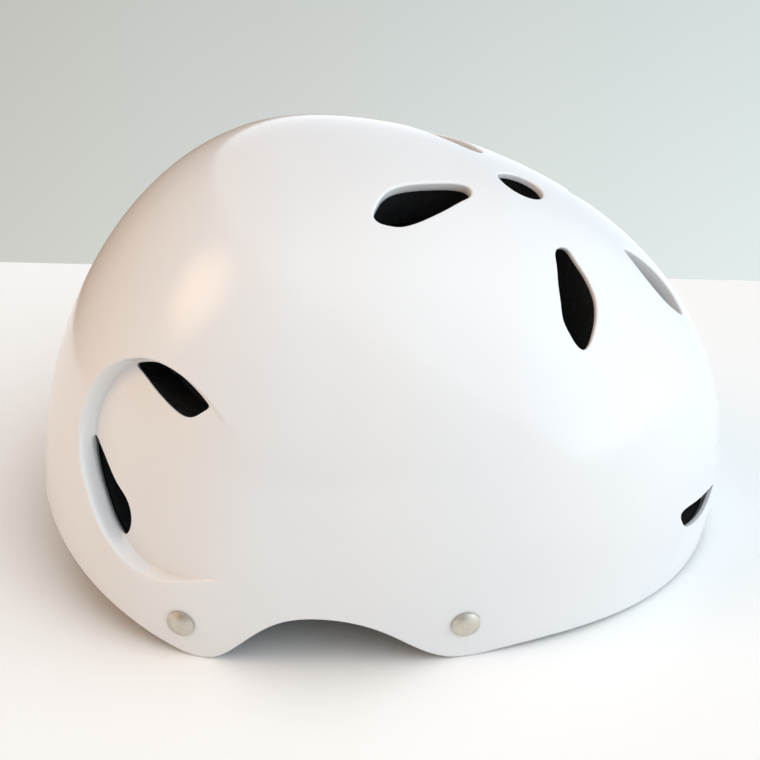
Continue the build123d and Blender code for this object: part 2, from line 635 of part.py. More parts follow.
def arch(x0, x1, foot):
    mid = (x0 + x1) / 2
    lean = ARCH_LEAN if x1 > x0 else -ARCH_LEAN
    return [lift(x0 - lean / 2, ARCH_SHOULDER / 2 + foot / 2), lift(x0 - lean / 2 , ARCH_SHOULDER), lift(mid, ARCH_HIGH),
            lift(x1 + lean / 2, ARCH_SHOULDER), lift(x1 + lean / 2, ARCH_SHOULDER / 2 + foot / 2)]


out_of_divider = [lift(inner.X, DIVIDER_BOTTOM - WEB_WALL / 2), lift(inner.X, slot_mid)]
into_socket = [lift(bar_slot_x, BUCKLE_TOP), lift(bar_slot_x, mid_z), lift(bar_slot_x, BUCKLE_BOTTOM + WEB_WALL / 2)]
chin_strap_right = webbing(out_of_divider + arch(inner.X, bar_slot_x, DIVIDER_TOP) + into_socket,
                           across_y, across_y, 0, 1, arch_count)

# The left one turns round the plug's bar, and its loose end lies along it under the slider.
half = WEB_WALL / 2
loop_z = PLUG_TOP + WEB_WALL
tail = [lift(TAIL_END, TAIL_Z), lift((TAIL_END + KEEPER_START) / 2, TAIL_Z), lift(KEEPER_START + half, TAIL_Z)]
tail += [lift(x, z) for x, z in TAIL_BEND]
tail += [lift(PLUG_END - BAR_WIDTH / 2, loop_z),
        lift(bar_x + half / 2, PLUG_TOP), lift(bar_x, (PLUG_TOP + FRAME_BOTTOM) / 2),
        lift(bar_x + half / 2, FRAME_BOTTOM), lift(PLUG_END - BAR_WIDTH / 2, LOW_WEB_Z), lift(KEEPER_START, LOW_WEB_Z),
        lift((KEEPER_START + STRAIGHT_END) / 2, LOW_WEB_Z), lift(STRAIGHT_END, LOW_WEB_Z)]
left_in = [lift(-p.X, p.Z) for p in reversed(out_of_divider)]
rise = [lift(-inner.X - ARCH_SPAN, ARCH_SHOULDER / 2), lift(-inner.X - ARCH_SPAN, ARCH_SHOULDER),
        lift(-inner.X - ARCH_SPAN / 2, ARCH_HIGH), lift(-inner.X + ARCH_LEAN / 2, ARCH_SHOULDER),
        lift(-inner.X + ARCH_LEAN / 2, ARCH_SHOULDER / 2)]
chin_strap_left = webbing(tail + rise + left_in, across_y, across_y, 0, 1, 2 * arch_count)

# Slider: a flat ring round both layers.
hole_y = WEB_WIDTH / 2 + KEEPER_CLEARANCE
hole_low = LOW_WEB_Z - half - KEEPER_CLEARANCE
hole_high = TAIL_Z + half + KEEPER_CLEARANCE
ring = block(KEEPER_START, KEEPER_START + KEEPER_LENGTH, -hole_y - KEEPER_WALL, hole_y + KEEPER_WALL,
             hole_low - KEEPER_WALL, hole_high + KEEPER_WALL)
ring = ring.fillet(KEEPER_WALL - WEB_GAP, ring.edges().filter_by(Axis.X))
strap_slider = cut(ring, [block(KEEPER_START - KEEPER_LENGTH, KEEPER_START + 2 * KEEPER_LENGTH, -hole_y, hole_y,
                               hole_low, hole_high)])

NODES = {
    "shell": [shell],
    "eps_liner": [liner],
    "rivets": rivets,
    "rivet_washers": washers,
    "hook_patches": patches,
    "strap_front_right": [strap_front_right],
    "strap_front_left": [strap_front_right.mirror(Plane.YZ)],
    "strap_rear_right": [strap_rear_right],
    "strap_rear_left": [strap_rear_right.mirror(Plane.YZ)],
    "divider_right": [divider_right],
    "divider_left": [divider_right.mirror(Plane.YZ)],
    "cam_lever_right": [lever_right],
    "cam_lever_left": [lever_right.mirror(Plane.YZ)],
    "chin_strap_right": [chin_strap_right],
    "chin_strap_left": [chin_strap_left],
    "buckle_socket": [buckle_socket],
    "buckle_plug": [buckle_plug],
    "strap_slider": [strap_slider],
}
for name, pad in pads.items():
    NODES[name] = [pad]

os.makedirs("parts", exist_ok=True)
for name, solids in NODES.items():
    flat = [s for shape in solids for s in shape.solids()]
    shape = flat[0] if len(flat) == 1 else Compound(children=flat)
    shape.label = name
    export_step(shape, f"parts/{name}.step")
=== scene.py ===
from math import cos, pi, radians, sin

import bpy
import numpy as np
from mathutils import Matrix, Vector


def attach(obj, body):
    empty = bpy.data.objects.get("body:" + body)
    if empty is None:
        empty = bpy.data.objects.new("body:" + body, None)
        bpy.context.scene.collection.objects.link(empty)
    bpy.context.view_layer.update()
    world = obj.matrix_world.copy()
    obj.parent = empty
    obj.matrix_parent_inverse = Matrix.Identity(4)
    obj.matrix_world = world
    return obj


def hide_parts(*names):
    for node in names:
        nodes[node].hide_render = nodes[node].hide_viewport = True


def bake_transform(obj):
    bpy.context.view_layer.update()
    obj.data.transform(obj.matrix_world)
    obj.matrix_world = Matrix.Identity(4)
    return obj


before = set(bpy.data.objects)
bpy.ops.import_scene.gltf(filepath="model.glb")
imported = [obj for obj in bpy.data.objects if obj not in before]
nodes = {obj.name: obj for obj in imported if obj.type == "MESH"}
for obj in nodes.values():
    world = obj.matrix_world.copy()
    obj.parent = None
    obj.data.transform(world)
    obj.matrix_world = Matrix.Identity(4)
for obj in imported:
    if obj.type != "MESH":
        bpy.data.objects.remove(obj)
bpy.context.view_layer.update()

# Lengths are millimetres until a mesh is made. The front is -Y, and the wearer's left is +X.
MM = 0.001
# Stand-ins for no distance and for one that is out of reach.
TINY, FAR = 1e-9, 50.0

# The dome, by the same formula as the CAD shell.
HALF_WIDTH, FRONT_REACH, REAR_REACH = 108.6, 169.0, 88.5
CROWN_RISE, SKIRT_DROP = 123.0, 220.0
DOME_Y, DOME_Z, LEAN, BLEND = 32.8, 20.4, -0.075, 0.2
MEAN_Y, SKEW_Y = (FRONT_REACH + REAR_REACH) / 2, (FRONT_REACH - REAR_REACH) / 2
SHELL_WALL = 3.0

# The net on one half of the dome: its lowest ring, in degrees from the crown, and its steps down and round.
SKIRT_TILT = 99.8
RING_STEPS, TURN_STEPS = 168, 276

# Lower edge in side view, as (y, z), from the rear to the front.
EDGE_REAR = [(150, 29), (128, 26), (110, 22), (92, 16), (74, 9.4), (61, 4.4), (49, 0)]
EDGE_ARCH = [(41, 0), (33, 6), (25, 13.5), (16, 19), (4, 20.6), (-8, 18.6), (-20, 12.8), (-30, 5.2), (-41, 0)]
EDGE_FRONT = [(-49, 0), (-64, 1.5), (-84, 1.6), (-104, 0.9), (-118, 1.4), (-127, 3), (-145, 6)]
# The edge is drawn at even steps of y. The lobes' corners are rounded over a few of them, and their feet stay
# on the floor.
EDGE_POINTS, EDGE_FROM, EDGE_TO, EDGE_STEP = 80, -143.0, 148.0, 0.5
CORNER_STEPS, FEET_Y = 29, 60.0
# Where the finished rim starts above the edge, the rounding of its outer corner, its rows round that corner,
# and the shell's least height over the floor.
EDGE_START, EDGE_ROUND, FLOOR_GAP = 1.3, 1.0, 0.02
EDGE_ANGLES = np.radians([0, 25, 50, 70, 90])

# The side scoop: its place on the dome, as degrees from the crown and from the front, its outline there, as
# lengths ahead and up, and its depth, which runs out between two places along the helmet.
SCOOP_PLACE = (71.5, 113.5)
SCOOP = [(-7.0, 35.6), (-18.2, 28.9), (-25.6, 18.6), (-27.9, 7.0), (-26.0, -3.0), (-20.6, -15.0),
         (-14.2, -25.0), (-6.0, -32.5), (3.5, -36.6), (14.0, -37.0), (27.0, -35.0), (42.0, -32.0),
         (54.0, -20.0), (58.0, -4.0), (50.0, 6.5), (44.5, 10.4), (34.0, 20.5), (27.4, 26.8), (16.6, 33.6),
         (5.0, 36.8)]
SCOOP_DEPTH, SCOOP_FULL_Y, SCOOP_FADE_Y = 7.0, 80.0, 28.0
SCOOP_REACH = 90.0
# Its wall reaches this far out of the outline and into it, more so where the scoop is deep, and further out
# where its top is softly rounded. That is at the rear, and less so below, past these places on the outline.
WALL_OUT, WALL_OUT_DEEP, WALL_OUT_SOFT = 0.4, 0.2, 1.2
WALL_IN, WALL_IN_DEEP = 0.7, 0.3
SOFT_REAR, SOFT_LOW, SOFT_BAND, LOW_SOFTNESS = -6, -8, 16, 0.55
WALL_LEVELS = (0.0, 0.2, 0.4, 0.62, 0.84, 1.0)

# Vents: place on the dome, rounding of the rim, width of the finished rim strip, depth of the wall, and the
# outline in the place's tangent plane, as lengths ahead and up.
VENTS = {
    "A": ((24.8, 48.9), 0.9, 2.0, 4.0, [
        (-12.1, -7.8), (-12.3, -1.6), (-10.8, 3.5), (-8.0, 7.3), (-4.0, 10.2), (1.6, 13.0), (8.0, 15.8),
        (13.6, 17.6), (17.0, 17.2), (18.2, 14.0), (15.8, 9.8), (11.5, 4.3), (6.0, -1.8), (-1.0, -7.7),
        (-3.8, -9.0), (-7.6, -9.3), (-10.7, -8.8)]),
    "B": ((47.0, 30.6), 0.7, 2.0, 1.5, [
        (-9.0, 17.6), (-7.6, 20.0), (-4.8, 20.8), (-2.4, 18.4), (-0.3, 15.6), (2.7, 12.0), (5.1, 8.2),
        (6.9, 4.3), (7.7, 0.1), (7.8, -5.1), (7.2, -10.0), (6.2, -13.6), (4.5, -15.4), (2.3, -14.9),
        (-1.1, -12.0), (-4.1, -8.4), (-6.0, -2.6), (-7.8, 5.6), (-8.7, 13.0)]),
    "S": ((86.7, 17.1), 0.35, 1.9, 1.5, [
        (-12.8, 3.6), (-9.0, 4.2), (-2.7, 3.3), (6.4, 1.8), (14.1, -0.3), (18.6, -2.6), (13.0, -6.0),
        (5.0, -7.4), (-3.0, -6.6), (-8.6, -4.4), (-11.6, -0.8)]),
    "C": ((29.0, 0.0), 0.8, 2.0, 2.2, [
        (-9.8, 0.0), (-7.2, 4.3), (-3.0, 6.7), (1.3, 7.1), (5.3, 5.4), (7.7, 0.0), (5.3, -5.4),
        (1.3, -7.1), (-3.0, -6.7), (-7.2, -4.3)]),
    "R": ((52.9, 0.0), 0.9, 2.0, 6.0, [
        (-17.5, 0.0), (-13.0, 3.6), (-5.0, 6.6), (3.0, 7.4), (10.0, 5.2), (15.0, 0.0), (10.0, -5.2),
        (3.0, -7.4), (-5.0, -6.6), (-13.0, -3.6)]),
    "V1": (SCOOP_PLACE, 0.12, 2.0, 0.4, [
        (-8.4, 33.0), (-4.0, 34.7), (5.0, 35.4), (15.8, 32.4), (22.3, 28.9), (25.8, 26.3), (26.9, 24.9),
        (25.4, 23.3), (21.2, 20.7), (18.0, 20.3), (14.6, 21.1), (8.3, 23.9), (1.0, 27.7), (-5.4, 31.2)]),
    "V2": (SCOOP_PLACE, 0.12, 2.0, 0.4, [
        (-26.8, 5.4), (-23.2, 2.4), (-18.8, -2.4), (-13.1, -9.0), (-8.4, -13.5), (-6.8, -17.5),
        (-7.6, -23.4), (-10.6, -26.6), (-14.3, -24.0), (-20.0, -14.8), (-25.3, -3.6)]),
}
VENT_REACH, OUTLINE_POINTS = 60.0, 260
# The rows of a rim: round its corner, across the scoop's floor, and down a wall, undercut or full.
RIM_ANGLES = np.radians([0, 18, 36, 54, 72, 90])
ROW_GAP, UNDERCUT_SHARES, BACK_WALL = 0.2, (0.3, 0.6, 0.85, 1.0), 1.8


# Small geometry

def v3(x, y, z):
    return np.array([x, y, z], float)


def unit(v):
    return v / np.linalg.norm(v, axis=-1, keepdims=True)


def ease(t):
    return t * t * (3 - 2 * t)


def end_slope(knots, points):
    # Slope at the first point of the polynomial through the first four points.
    n = min(len(knots), 4)
    t = knots[:n]
    slope = points[0] * sum(1 / (t[0] - t[m]) for m in range(1, n))
    for j in range(1, n):
        term = 1 / (t[j] - t[0])
        for m in range(1, n):
            if m != j:
                term = term * (t[0] - t[m]) / (t[j] - t[m])
        slope = slope + points[j] * term
    return slope


def through(points, closed=False):
    # The smooth curve through the points, as knots, points and slopes.
    p = np.array(points, float)
    if closed:
        p = np.vstack([p, p[:1]])
    gap = np.linalg.norm(np.diff(p, axis=0), axis=1)
    knots = np.concatenate([[0], np.cumsum(gap)])
    rate = np.diff(p, axis=0) / gap[:, None]
    n = len(p)
    a, b = np.zeros((n, n)), np.zeros_like(p)
    for i in range(1, n - 1):
        a[i, i - 1:i + 2] = gap[i], 2 * (gap[i - 1] + gap[i]), gap[i - 1]
        b[i] = 3 * (gap[i] * rate[i - 1] + gap[i - 1] * rate[i])
    if closed:
        a[0, 0], a[0, 1], a[0, -2] = 2 * (gap[-1] + gap[0]), gap[-1], gap[0]
        b[0] = 3 * (gap[0] * rate[-1] + gap[-1] * rate[0])
        a[-1, 0], a[-1, -1] = -1, 1
    else:
        a[0, 0] = a[-1, -1] = 1
        b[0], b[-1] = end_slope(knots, p), end_slope(knots[::-1], p[::-1])
    return knots, p, np.linalg.solve(a, b)


def trace(curve, s):
    knots, p, m = curve
    i = np.clip(np.searchsorted(knots, s, side="right") - 1, 0, len(knots) - 2)
    h = (knots[i + 1] - knots[i])[:, None]
    t = (s - knots[i])[:, None] / h
    return ((1 + 2 * t) * (1 - t) ** 2 * p[i] + t * (1 - t) ** 2 * h * m[i]
            + t * t * (3 - 2 * t) * p[i + 1] - t * t * (1 - t) * h * m[i + 1])


def even(curve, count, closed=False):
    # Points at even steps of length along a curve.
    fine = np.linspace(0, curve[0][-1], 40 * len(curve[0]))
    run = np.concatenate([[0], np.cumsum(np.linalg.norm(np.diff(trace(curve, fine), axis=0), axis=1))])
    want = np.linspace(0, run[-1], count, endpoint=not closed)
    return trace(curve, np.interp(want, run, fine))


def dome(d, inset=0.0):
    mean_z, skew_z = (CROWN_RISE + SKIRT_DROP - inset) / 2, (SKIRT_DROP - CROWN_RISE + inset) / 2
    rise = mean_z * d[..., 2] - skew_z * (np.sqrt(d[..., 2] ** 2 + BLEND ** 2) - BLEND)
    y = (MEAN_Y - inset) * d[..., 1] - SKEW_Y * (np.sqrt(d[..., 1] ** 2 + BLEND ** 2) - BLEND)
    return np.stack([(HALF_WIDTH - inset) * d[..., 0], DOME_Y + y + LEAN * rise, DOME_Z + rise], -1)


def outward(d):
    mean_z, skew_z = (CROWN_RISE + SKIRT_DROP) / 2, (SKIRT_DROP - CROWN_RISE) / 2
    slope_y = MEAN_Y - SKEW_Y * d[..., 1] / np.sqrt(d[..., 1] ** 2 + BLEND ** 2)
    slope_z = mean_z - skew_z * d[..., 2] / np.sqrt(d[..., 2] ** 2 + BLEND ** 2)
    gy = d[..., 1] / slope_y
    return unit(np.stack([d[..., 0] / HALF_WIDTH, gy, d[..., 2] / slope_z - LEAN * gy], -1))


def toward(tilt, turn):
    # The direction at an angle from the crown and one from the front, round by the right.
    flat = np.sin(tilt)
    return np.stack([-flat * np.sin(turn), -flat * np.cos(turn), np.cos(tilt) * np.ones_like(turn)], -1)


class Place:
    """A tangent plane of the dome, with its own forward and upward directions."""

    def __init__(self, tilt, turn):
        d = toward(np.array(radians(tilt)), np.array(radians(turn)))
        self.out = outward(d)
        ahead = np.array([0.0, -1.0, 0.0])
        self.ahead = unit(ahead - self.out * (ahead @ self.out))
        self.up = np.cross(self.out, self.ahead)
        self.origin = dome(d)

    def flat(self, p):
        q = p - self.origin
        return np.stack([q @ self.ahead, q @ self.up], -1)


def reach(spots, ring):
    # Distance of each spot from a closed outline, negative inside, and the outline's nearest point.
    a, b = ring, np.roll(ring, -1, 0)
    ab = b - a
    w = spots[:, None, :] - a[None]
    t = np.clip((w * ab).sum(-1) / (ab * ab).sum(-1), 0, 1)
    near = a + t[..., None] * ab
    gap = np.linalg.norm(spots[:, None, :] - near, axis=-1)
    best = gap.argmin(1)
    rows = np.arange(len(spots))
    y = spots[:, 1, None]
    crossing = (a[:, 1] > y) != (b[:, 1] > y)
    at = a[:, 0] + (y - a[:, 1]) / np.where(ab[:, 1] == 0, TINY, ab[:, 1]) * ab[:, 0]
    inside = (crossing & (spots[:, 0, None] < at)).sum(1) % 2 == 1
    return np.where(inside, -1, 1) * gap[rows, best], near[rows, best]


scoop_place = Place(*SCOOP_PLACE)
scoop_ring = even(through(SCOOP, True), OUTLINE_POINTS, True)


def scoop_share(y):
    # The scoop is full at the rear and runs out softly forward.
    t = np.clip((y - SCOOP_FADE_Y) / (SCOOP_FULL_Y - SCOOP_FADE_Y), 0, 1)
    return (1 - np.cos(pi * t)) / 2


def scoop_level(base):
    # 0 at the wall's top, 1 at its foot, with the depth of the floor there.
    level, depth = np.full(len(base), -FAR), np.zeros(len(base))
    near = np.nonzero(np.linalg.norm(base - scoop_place.origin, axis=-1) < SCOOP_REACH)[0]
    if len(near):
        share = scoop_share(base[near, 1])
        gap, edge = reach(scoop_place.flat(base[near]), scoop_ring)
        rear = np.clip((SOFT_REAR - edge[:, 0]) / SOFT_BAND, 0, 1)
        low = np.clip((SOFT_LOW - edge[:, 1]) / SOFT_BAND, 0, 1)
        soft = np.maximum(ease(rear), LOW_SOFTNESS * ease(low))
        out = (WALL_OUT_DEEP + WALL_OUT_SOFT * soft) * share + WALL_OUT
        into = WALL_IN_DEEP * share + WALL_IN
        level[near] = (out - gap) / (out + into)
        depth[near] = SCOOP_DEPTH * share
    return level, depth


def soften(g, first=0.5, last=0.2):
    # A slope from 0 to 1 whose ends are rounded.
    g = np.clip(g, 0, 1)
    c = 1 / (1 - first / 2 - last / 2)
    low, high = c * g * g / (2 * first), 1 - c * (1 - g) ** 2 / (2 * last)
    return np.where(g < first, low, np.where(g > 1 - last, high, c * (g - first / 2)))


def surface(d, inset=0.0):
    base = dome(d)
    level, depth = scoop_level(base)
    sink = depth * soften(level)
    return dome(d, inset) - sink[:, None] * scoop_place.out


# Cutting the dome's net along lines

# Rounds of the search for a line, and the share of an edge within which its end moves to the line.
CUT_ROUNDS, SNAP = 5, 0.22
# The searches for a spot on the dome and for a height above the edge: their rounds, the step that tries a
# slope, the longest step of tilt, and a direction that isn't square to any vent's.
SETTLE_ROUNDS, TILT_ROUNDS, PROBE, TILT_STEP = 6, 8, 1e-5, 0.01
ASKEW = np.array([0.31, 0.2, 0.93])


def sides(face):
    return zip(face, face[1:] + face[:1])


def crosses(values):
    return min(values) < 0 < max(values)


def crossings(field, level, start, end, va, vb):
    # Where the field has this level between two directions: the share of the way there, and the direction.
    ta, tb = np.zeros(len(start)), np.ones(len(start))
    for _ in range(CUT_ROUNDS):
        t = ta + (tb - ta) * va / (va - vb)
        v = field(unit(start + (end - start) * t[:, None])) - level
        same = np.sign(v) == np.sign(va)
        ta, va = np.where(same, t, ta), np.where(same, v, va)
        tb, vb = np.where(same, tb, t), np.where(same, vb, v)
        ta, tb = np.where(v == 0, t - TINY, ta), np.where(v == 0, t + TINY, tb)
        va, vb = np.where(v == 0, TINY, va), np.where(v == 0, -TINY, vb)
    return t, unit(start + (end - start) * t[:, None])


class Net:
    """Directions and faces of the right half of the shell. Each direction is a vertex."""

    def __init__(self):
        tilts = np.linspace(0, radians(SKIRT_TILT), RING_STEPS + 1)[1:]
        turns = np.linspace(0, pi, TURN_STEPS + 1)
        grid = toward(tilts[:, None], turns[None, :])
        grid[:, 0, 0] = grid[:, -1, 0] = 0
        self.d = np.vstack([[[0.0, 0.0, 1.0]], grid.reshape(-1, 3)])
        wide = TURN_STEPS + 1
        self.faces = [(0, 1 + j, 2 + j) for j in range(TURN_STEPS)]
        for i in range(RING_STEPS - 1):
            for j in range(TURN_STEPS):
                k = 1 + i * wide + j
                self.faces.append((k, k + wide, k + wide + 1, k + 1))

    def on_seam(self, a, b):
        # Whether both vertices lie on the helmet's centreline.
        return self.d[a][0] == 0 and self.d[b][0] == 0

    def cut(self, field, level, locked=frozenset(), within=4.0):
        # Puts vertices where the field has this level and splits the faces there. It looks only at faces
        # whose first vertex is within this of the level, and locked vertices don't move.
        value = field(self.d) - level
        lead = np.array([f[0] for f in self.faces])
        close = [int(k) for k in np.nonzero(np.abs(value[lead]) < within)[0]]
        close = [k for k in close if crosses([value[i] for i in self.faces[k]])]
        ends = {(min(a, b), max(a, b)) for k in close for a, b in sides(self.faces[k])}
        pairs = sorted((a, b) for a, b in ends if value[a] * value[b] < 0)
        pairs = np.array(pairs, int).reshape(-1, 2)
        first, second = pairs[:, 0], pairs[:, 1]
        shares, spots = crossings(field, level, self.d[first], self.d[second], value[first], value[second])
        value = list(value)
        on = set()
        for (a, b), share, spot in zip(pairs.tolist(), shares, spots):
            if value[a] == 0 or value[b] == 0:
                continue
            seam = self.on_seam(a, b)
            for v, near in ((a, share), (b, 1 - share)):
                if near < SNAP and v not in locked and (seam or self.d[v][0] != 0):
                    self.d[v] = spot
                    value[v] = 0.0
                    on.add(v)
                    break
        fresh, made = {}, []
        for (a, b), spot in zip(pairs.tolist(), spots):
            if value[a] * value[b] < 0:
                if self.on_seam(a, b):
                    spot = np.array([0.0, spot[1], spot[2]])
                fresh[(a, b)] = len(self.d) + len(made)
                made.append(spot)
        if made:
            self.d = np.vstack([self.d, made])
        value += [0.0] * len(made)
        on |= set(fresh.values())
        for k in close:
            f = self.faces[k]
            if not crosses([value[i] for i in f]):
                continue
            plus, minus = [], []
            for a, b in sides(f):
                if value[a] >= 0:
                    plus.append(a)
                if value[a] <= 0:
                    minus.append(a)
                if value[a] * value[b] < 0:
                    m = fresh[(min(a, b), max(a, b))]
                    plus.append(m)
                    minus.append(m)
            self.faces[k] = tuple(plus)
            self.faces.append(tuple(minus))
        return on, value

    def drop(self, value):
        # Removes the faces on the low side of the last cut.
        def stays(f):
            return max(value[i] for i in f) > 0 or min(value[i] for i in f) >= 0
        self.faces = [f for f in self.faces if stays(f)]

    def border(self, on):
        # Open edges between vertices of this set, in the direction of their face. The dict keeps their order.
        seen = {(a, b): True for f in self.faces for a, b in sides(f) if a in on and b in on}
        return [(a, b) for a, b in seen if (b, a) not in seen and not self.on_seam(a, b)]


def settle(place, target, d):
    # Directions whose points on the dome lie over the target spots of a tangent plane.
    for _ in range(SETTLE_ROUNDS):
        side = unit(np.cross(d, ASKEW))
        other = np.cross(d, side)
        here = place.flat(dome(d))
        j1 = (place.flat(dome(unit(d + PROBE * side))) - here) / PROBE
        j2 = (place.flat(dome(unit(d + PROBE * other))) - here) / PROBE
        miss = target - here
        det = j1[:, 0] * j2[:, 1] - j1[:, 1] * j2[:, 0]
        a = (miss[:, 0] * j2[:, 1] - miss[:, 1] * j2[:, 0]) / det
        b = (j1[:, 0] * miss[:, 1] - j1[:, 1] * miss[:, 0]) / det
        d = unit(d + a[:, None] * side + b[:, None] * other)
    return d


edge_parts = [even(through(part), EDGE_POINTS) for part in (EDGE_REAR, EDGE_ARCH, EDGE_FRONT)]
edge_curve = np.vstack(edge_parts)[::-1]
edge_y = np.arange(EDGE_FROM, EDGE_TO, EDGE_STEP)
rounding = np.hanning(CORNER_STEPS)
edge_z = np.convolve(np.interp(edge_y, *edge_curve.T), rounding / rounding.sum(), "same")
edge_z -= edge_z[np.abs(edge_y) < FEET_Y].min()


def above_edge(d):
    p = surface(d)
    return p[:, 2] - np.interp(p[:, 1], edge_y, edge_z)


def vent_field(place, ring):
    def field(d):
        p = dome(d)
        found = np.full(len(d), FAR)
        near = np.nonzero(np.linalg.norm(p - place.origin, axis=-1) < VENT_REACH)[0]
        if len(near):
            found[near] = reach(place.flat(p[near]), ring)[0]
        return found
    return field


def floor_point(d):
    # The scoop's floor under or beside its wall.
    base = dome(d)
    return base - (SCOOP_DEPTH * scoop_share(base[:, 1]))[:, None] * scoop_place.out


def rim_rows(rim, width, deep, sunk):
    # Distance from the hole's edge and depth below the surface, from the outer skin round to the inner one.
    rows = [(rim - rim * sin(a), rim - rim * cos(a)) for a in RIM_ANGLES]
    if sunk:
        rows = [(s, 0.0) for s in np.arange(width - ROW_GAP, rim + ROW_GAP / 2, -ROW_GAP)] + rows
    if deep < SHELL_WALL:
        # An undercut wall, of which only the upper part shows.
        cut_in = [((width - ROW_GAP) * t, deep + (SHELL_WALL - deep) * t) for t in UNDERCUT_SHARES]
        return rows + [(0.0, max(deep, rim + ROW_GAP)), (0.06, deep + 0.3)] + cut_in
    # A wall that goes on past the shell's inner skin, with a rounded foot, and comes back to it behind.
    thick = min(BACK_WALL, width - 0.1)
    rows += [(0.0, (rim + deep) / 2), (0.0, deep - 0.35), (0.1, deep - 0.1), (0.35, deep)]
    return rows + [(thick - 0.3, deep), (thick, deep - 0.3), (thick, SHELL_WALL + 0.2)]


def scoop_field(d):
    return scoop_level(dome(d))[0]


def shell_mesh():
    net = Net()
    for level in WALL_LEVELS:
        net.cut(scoop_field, level, within=1.5)
    rims, locked = [], set()
    for place_at, rim, width, deep, outline in VENTS.values():
        place, ring = Place(*place_at), even(through(outline, True), OUTLINE_POINTS, True)
        sunk = place_at == SCOOP_PLACE
        on, value = net.cut(vent_field(place, ring), width, locked)
        net.drop(value)
        rims.append((place, ring, rim, width, deep, sunk, on))
        locked |= on
    on, value = net.cut(above_edge, EDGE_START, locked)
    net.drop(value)

    count = len(net.d)
    spots = [surface(net.d), surface(net.d, SHELL_WALL)]
    faces = [tuple(f) for f in net.faces] + [tuple(count + i for i in reversed(f)) for f in net.faces]
    total = 2 * count

    def strip(edges, rows):
        # Joins the outer skin to the inner one across the rows of points.
        nonlocal total
        ids = sorted({i for e in edges for i in e})
        order = {v: k for k, v in enumerate(ids)}
        index = [np.array(ids)]
        for points in rows(np.array(ids)):
            points[net.d[ids, 0] == 0, 0] = 0
            index.append(np.arange(total, total + len(ids)))
            spots.append(points)
            total += len(ids)
        index.append(np.array(ids) + count)
        for low, high in zip(index, index[1:]):
            for a, b in edges:
                a, b = order[a], order[b]
                faces.append((int(low[b]), int(low[a]), int(high[a]), int(high[b])))

    for place, ring, rim, width, deep, sunk, rim_on in rims:
        def vent_rows(ids):
            start = place.flat(dome(net.d[ids]))
            _, near = reach(start, ring)
            found = []
            for s, depth in rim_rows(rim, width, deep, sunk):
                d = settle(place, near + (start - near) * (s / width), net.d[ids])
                # In the scoop, the wall's deeper rows hang from the floor.
                skin = floor_point(d) if sunk and depth > 0.5 else surface(d)
                found.append(skin - place.out * depth)
            return found
        strip(net.border(rim_on), vent_rows)

    def edge_rows(ids):
        tilt, turn = np.arccos(net.d[ids, 2]), np.arctan2(-net.d[ids, 0], -net.d[ids, 1])
        rows = [(EDGE_ROUND - EDGE_ROUND * sin(a), EDGE_ROUND - EDGE_ROUND * cos(a)) for a in EDGE_ANGLES]
        rows += [(0.0, SHELL_WALL / 2), (0.0, SHELL_WALL - 0.9), (0.25, SHELL_WALL - 0.3), (0.8, SHELL_WALL)]
        found = []
        for level, depth in rows:
            # The tilt at which the surface has this height above the edge.
            t = tilt.copy()
            for _ in range(TILT_ROUNDS):
                now = above_edge(toward(t, turn))
                slope = (above_edge(toward(t + PROBE, turn)) - now) / PROBE
                t = t + np.clip((level - now) / slope, -TILT_STEP, TILT_STEP)
            d = toward(t, turn)
            p = surface(d) - outward(d) * depth
            p[:, 2] = np.maximum(p[:, 2], FLOOR_GAP)
            found.append(p)
        return found
    strip(net.border(on), edge_rows)
    return mirrored(np.vstack(spots), faces)


def mirrored(points, faces):
    # Keeps the points in use and adds the left half, sharing the vertices on the centreline.
    used = np.unique([i for f in faces for i in f])
    renumber = np.full(len(points), -1)
    renumber[used] = np.arange(len(used))
    points, faces = points[used], [tuple(int(renumber[i]) for i in f) for f in faces]
    seam = np.abs(points[:, 0]) < 1e-6
    twin = np.where(seam, np.arange(len(points)), len(points) + np.cumsum(~seam) - 1)
    other = points[~seam] * np.array([-1.0, 1.0, 1.0])
    faces = faces + [tuple(int(twin[i]) for i in reversed(f)) for f in faces]
    return np.vstack([points, other]), faces


def mesh_object(name, points, faces, body, look, uv=None):
    mesh = bpy.data.meshes.new(name)
    mesh.from_pydata((np.asarray(points) * MM).tolist(), [], faces)
    if uv is not None:
        layer = mesh.uv_layers.new(name="UVMap")
        for loop in mesh.loops:
            layer.data[loop.index].uv = uv[loop.vertex_index]
    mesh.materials.append(look)
    mesh.polygons.foreach_set("use_smooth", [True] * len(mesh.polygons))
    mesh.update()
    piece = bpy.data.objects.new(name, mesh)
    bpy.context.scene.collection.objects.link(piece)
    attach(piece, body)
    return piece


# Materials

# The Mix node's sockets for colours.
MIX_FACTOR, MIX_FIRST, MIX_SECOND, MIX_RESULT = 0, 6, 7, 2
# The webbing's ribs and picks, in millimetres, and how far the picks slant between the ribs.
RIB_GAP, PICK_GAP, WEAVE_SLANT = 1.1, 1.3, 1.6


def material(name, color, roughness, metallic=0.0, **sockets):
    made = bpy.data.materials.new(name)
    made.use_nodes = True
    tree = made.node_tree
    shader = tree.nodes["Principled BSDF"]
    shader.inputs["Base Color"].default_value = (*color, 1)
    shader.inputs["Roughness"].default_value = roughness
    shader.inputs["Metallic"].default_value = metallic
    for key, value in sockets.items():
        shader.inputs[key.replace("_", " ")].default_value = value
    return made, tree, shader


def node(tree, kind, **settings):
    made = tree.nodes.new(kind)
    for key, value in settings.items():
        if key in made.inputs:
            made.inputs[key].default_value = value
        else:
            setattr(made, key, value)
    return made


def feed(tree, value, socket):
    # Gives the socket a number, a colour or another node's output.
    if isinstance(value, bpy.types.NodeSocket):
        tree.links.new(value, socket)
    else:
        socket.default_value = (*value, 1) if isinstance(value, tuple) else value


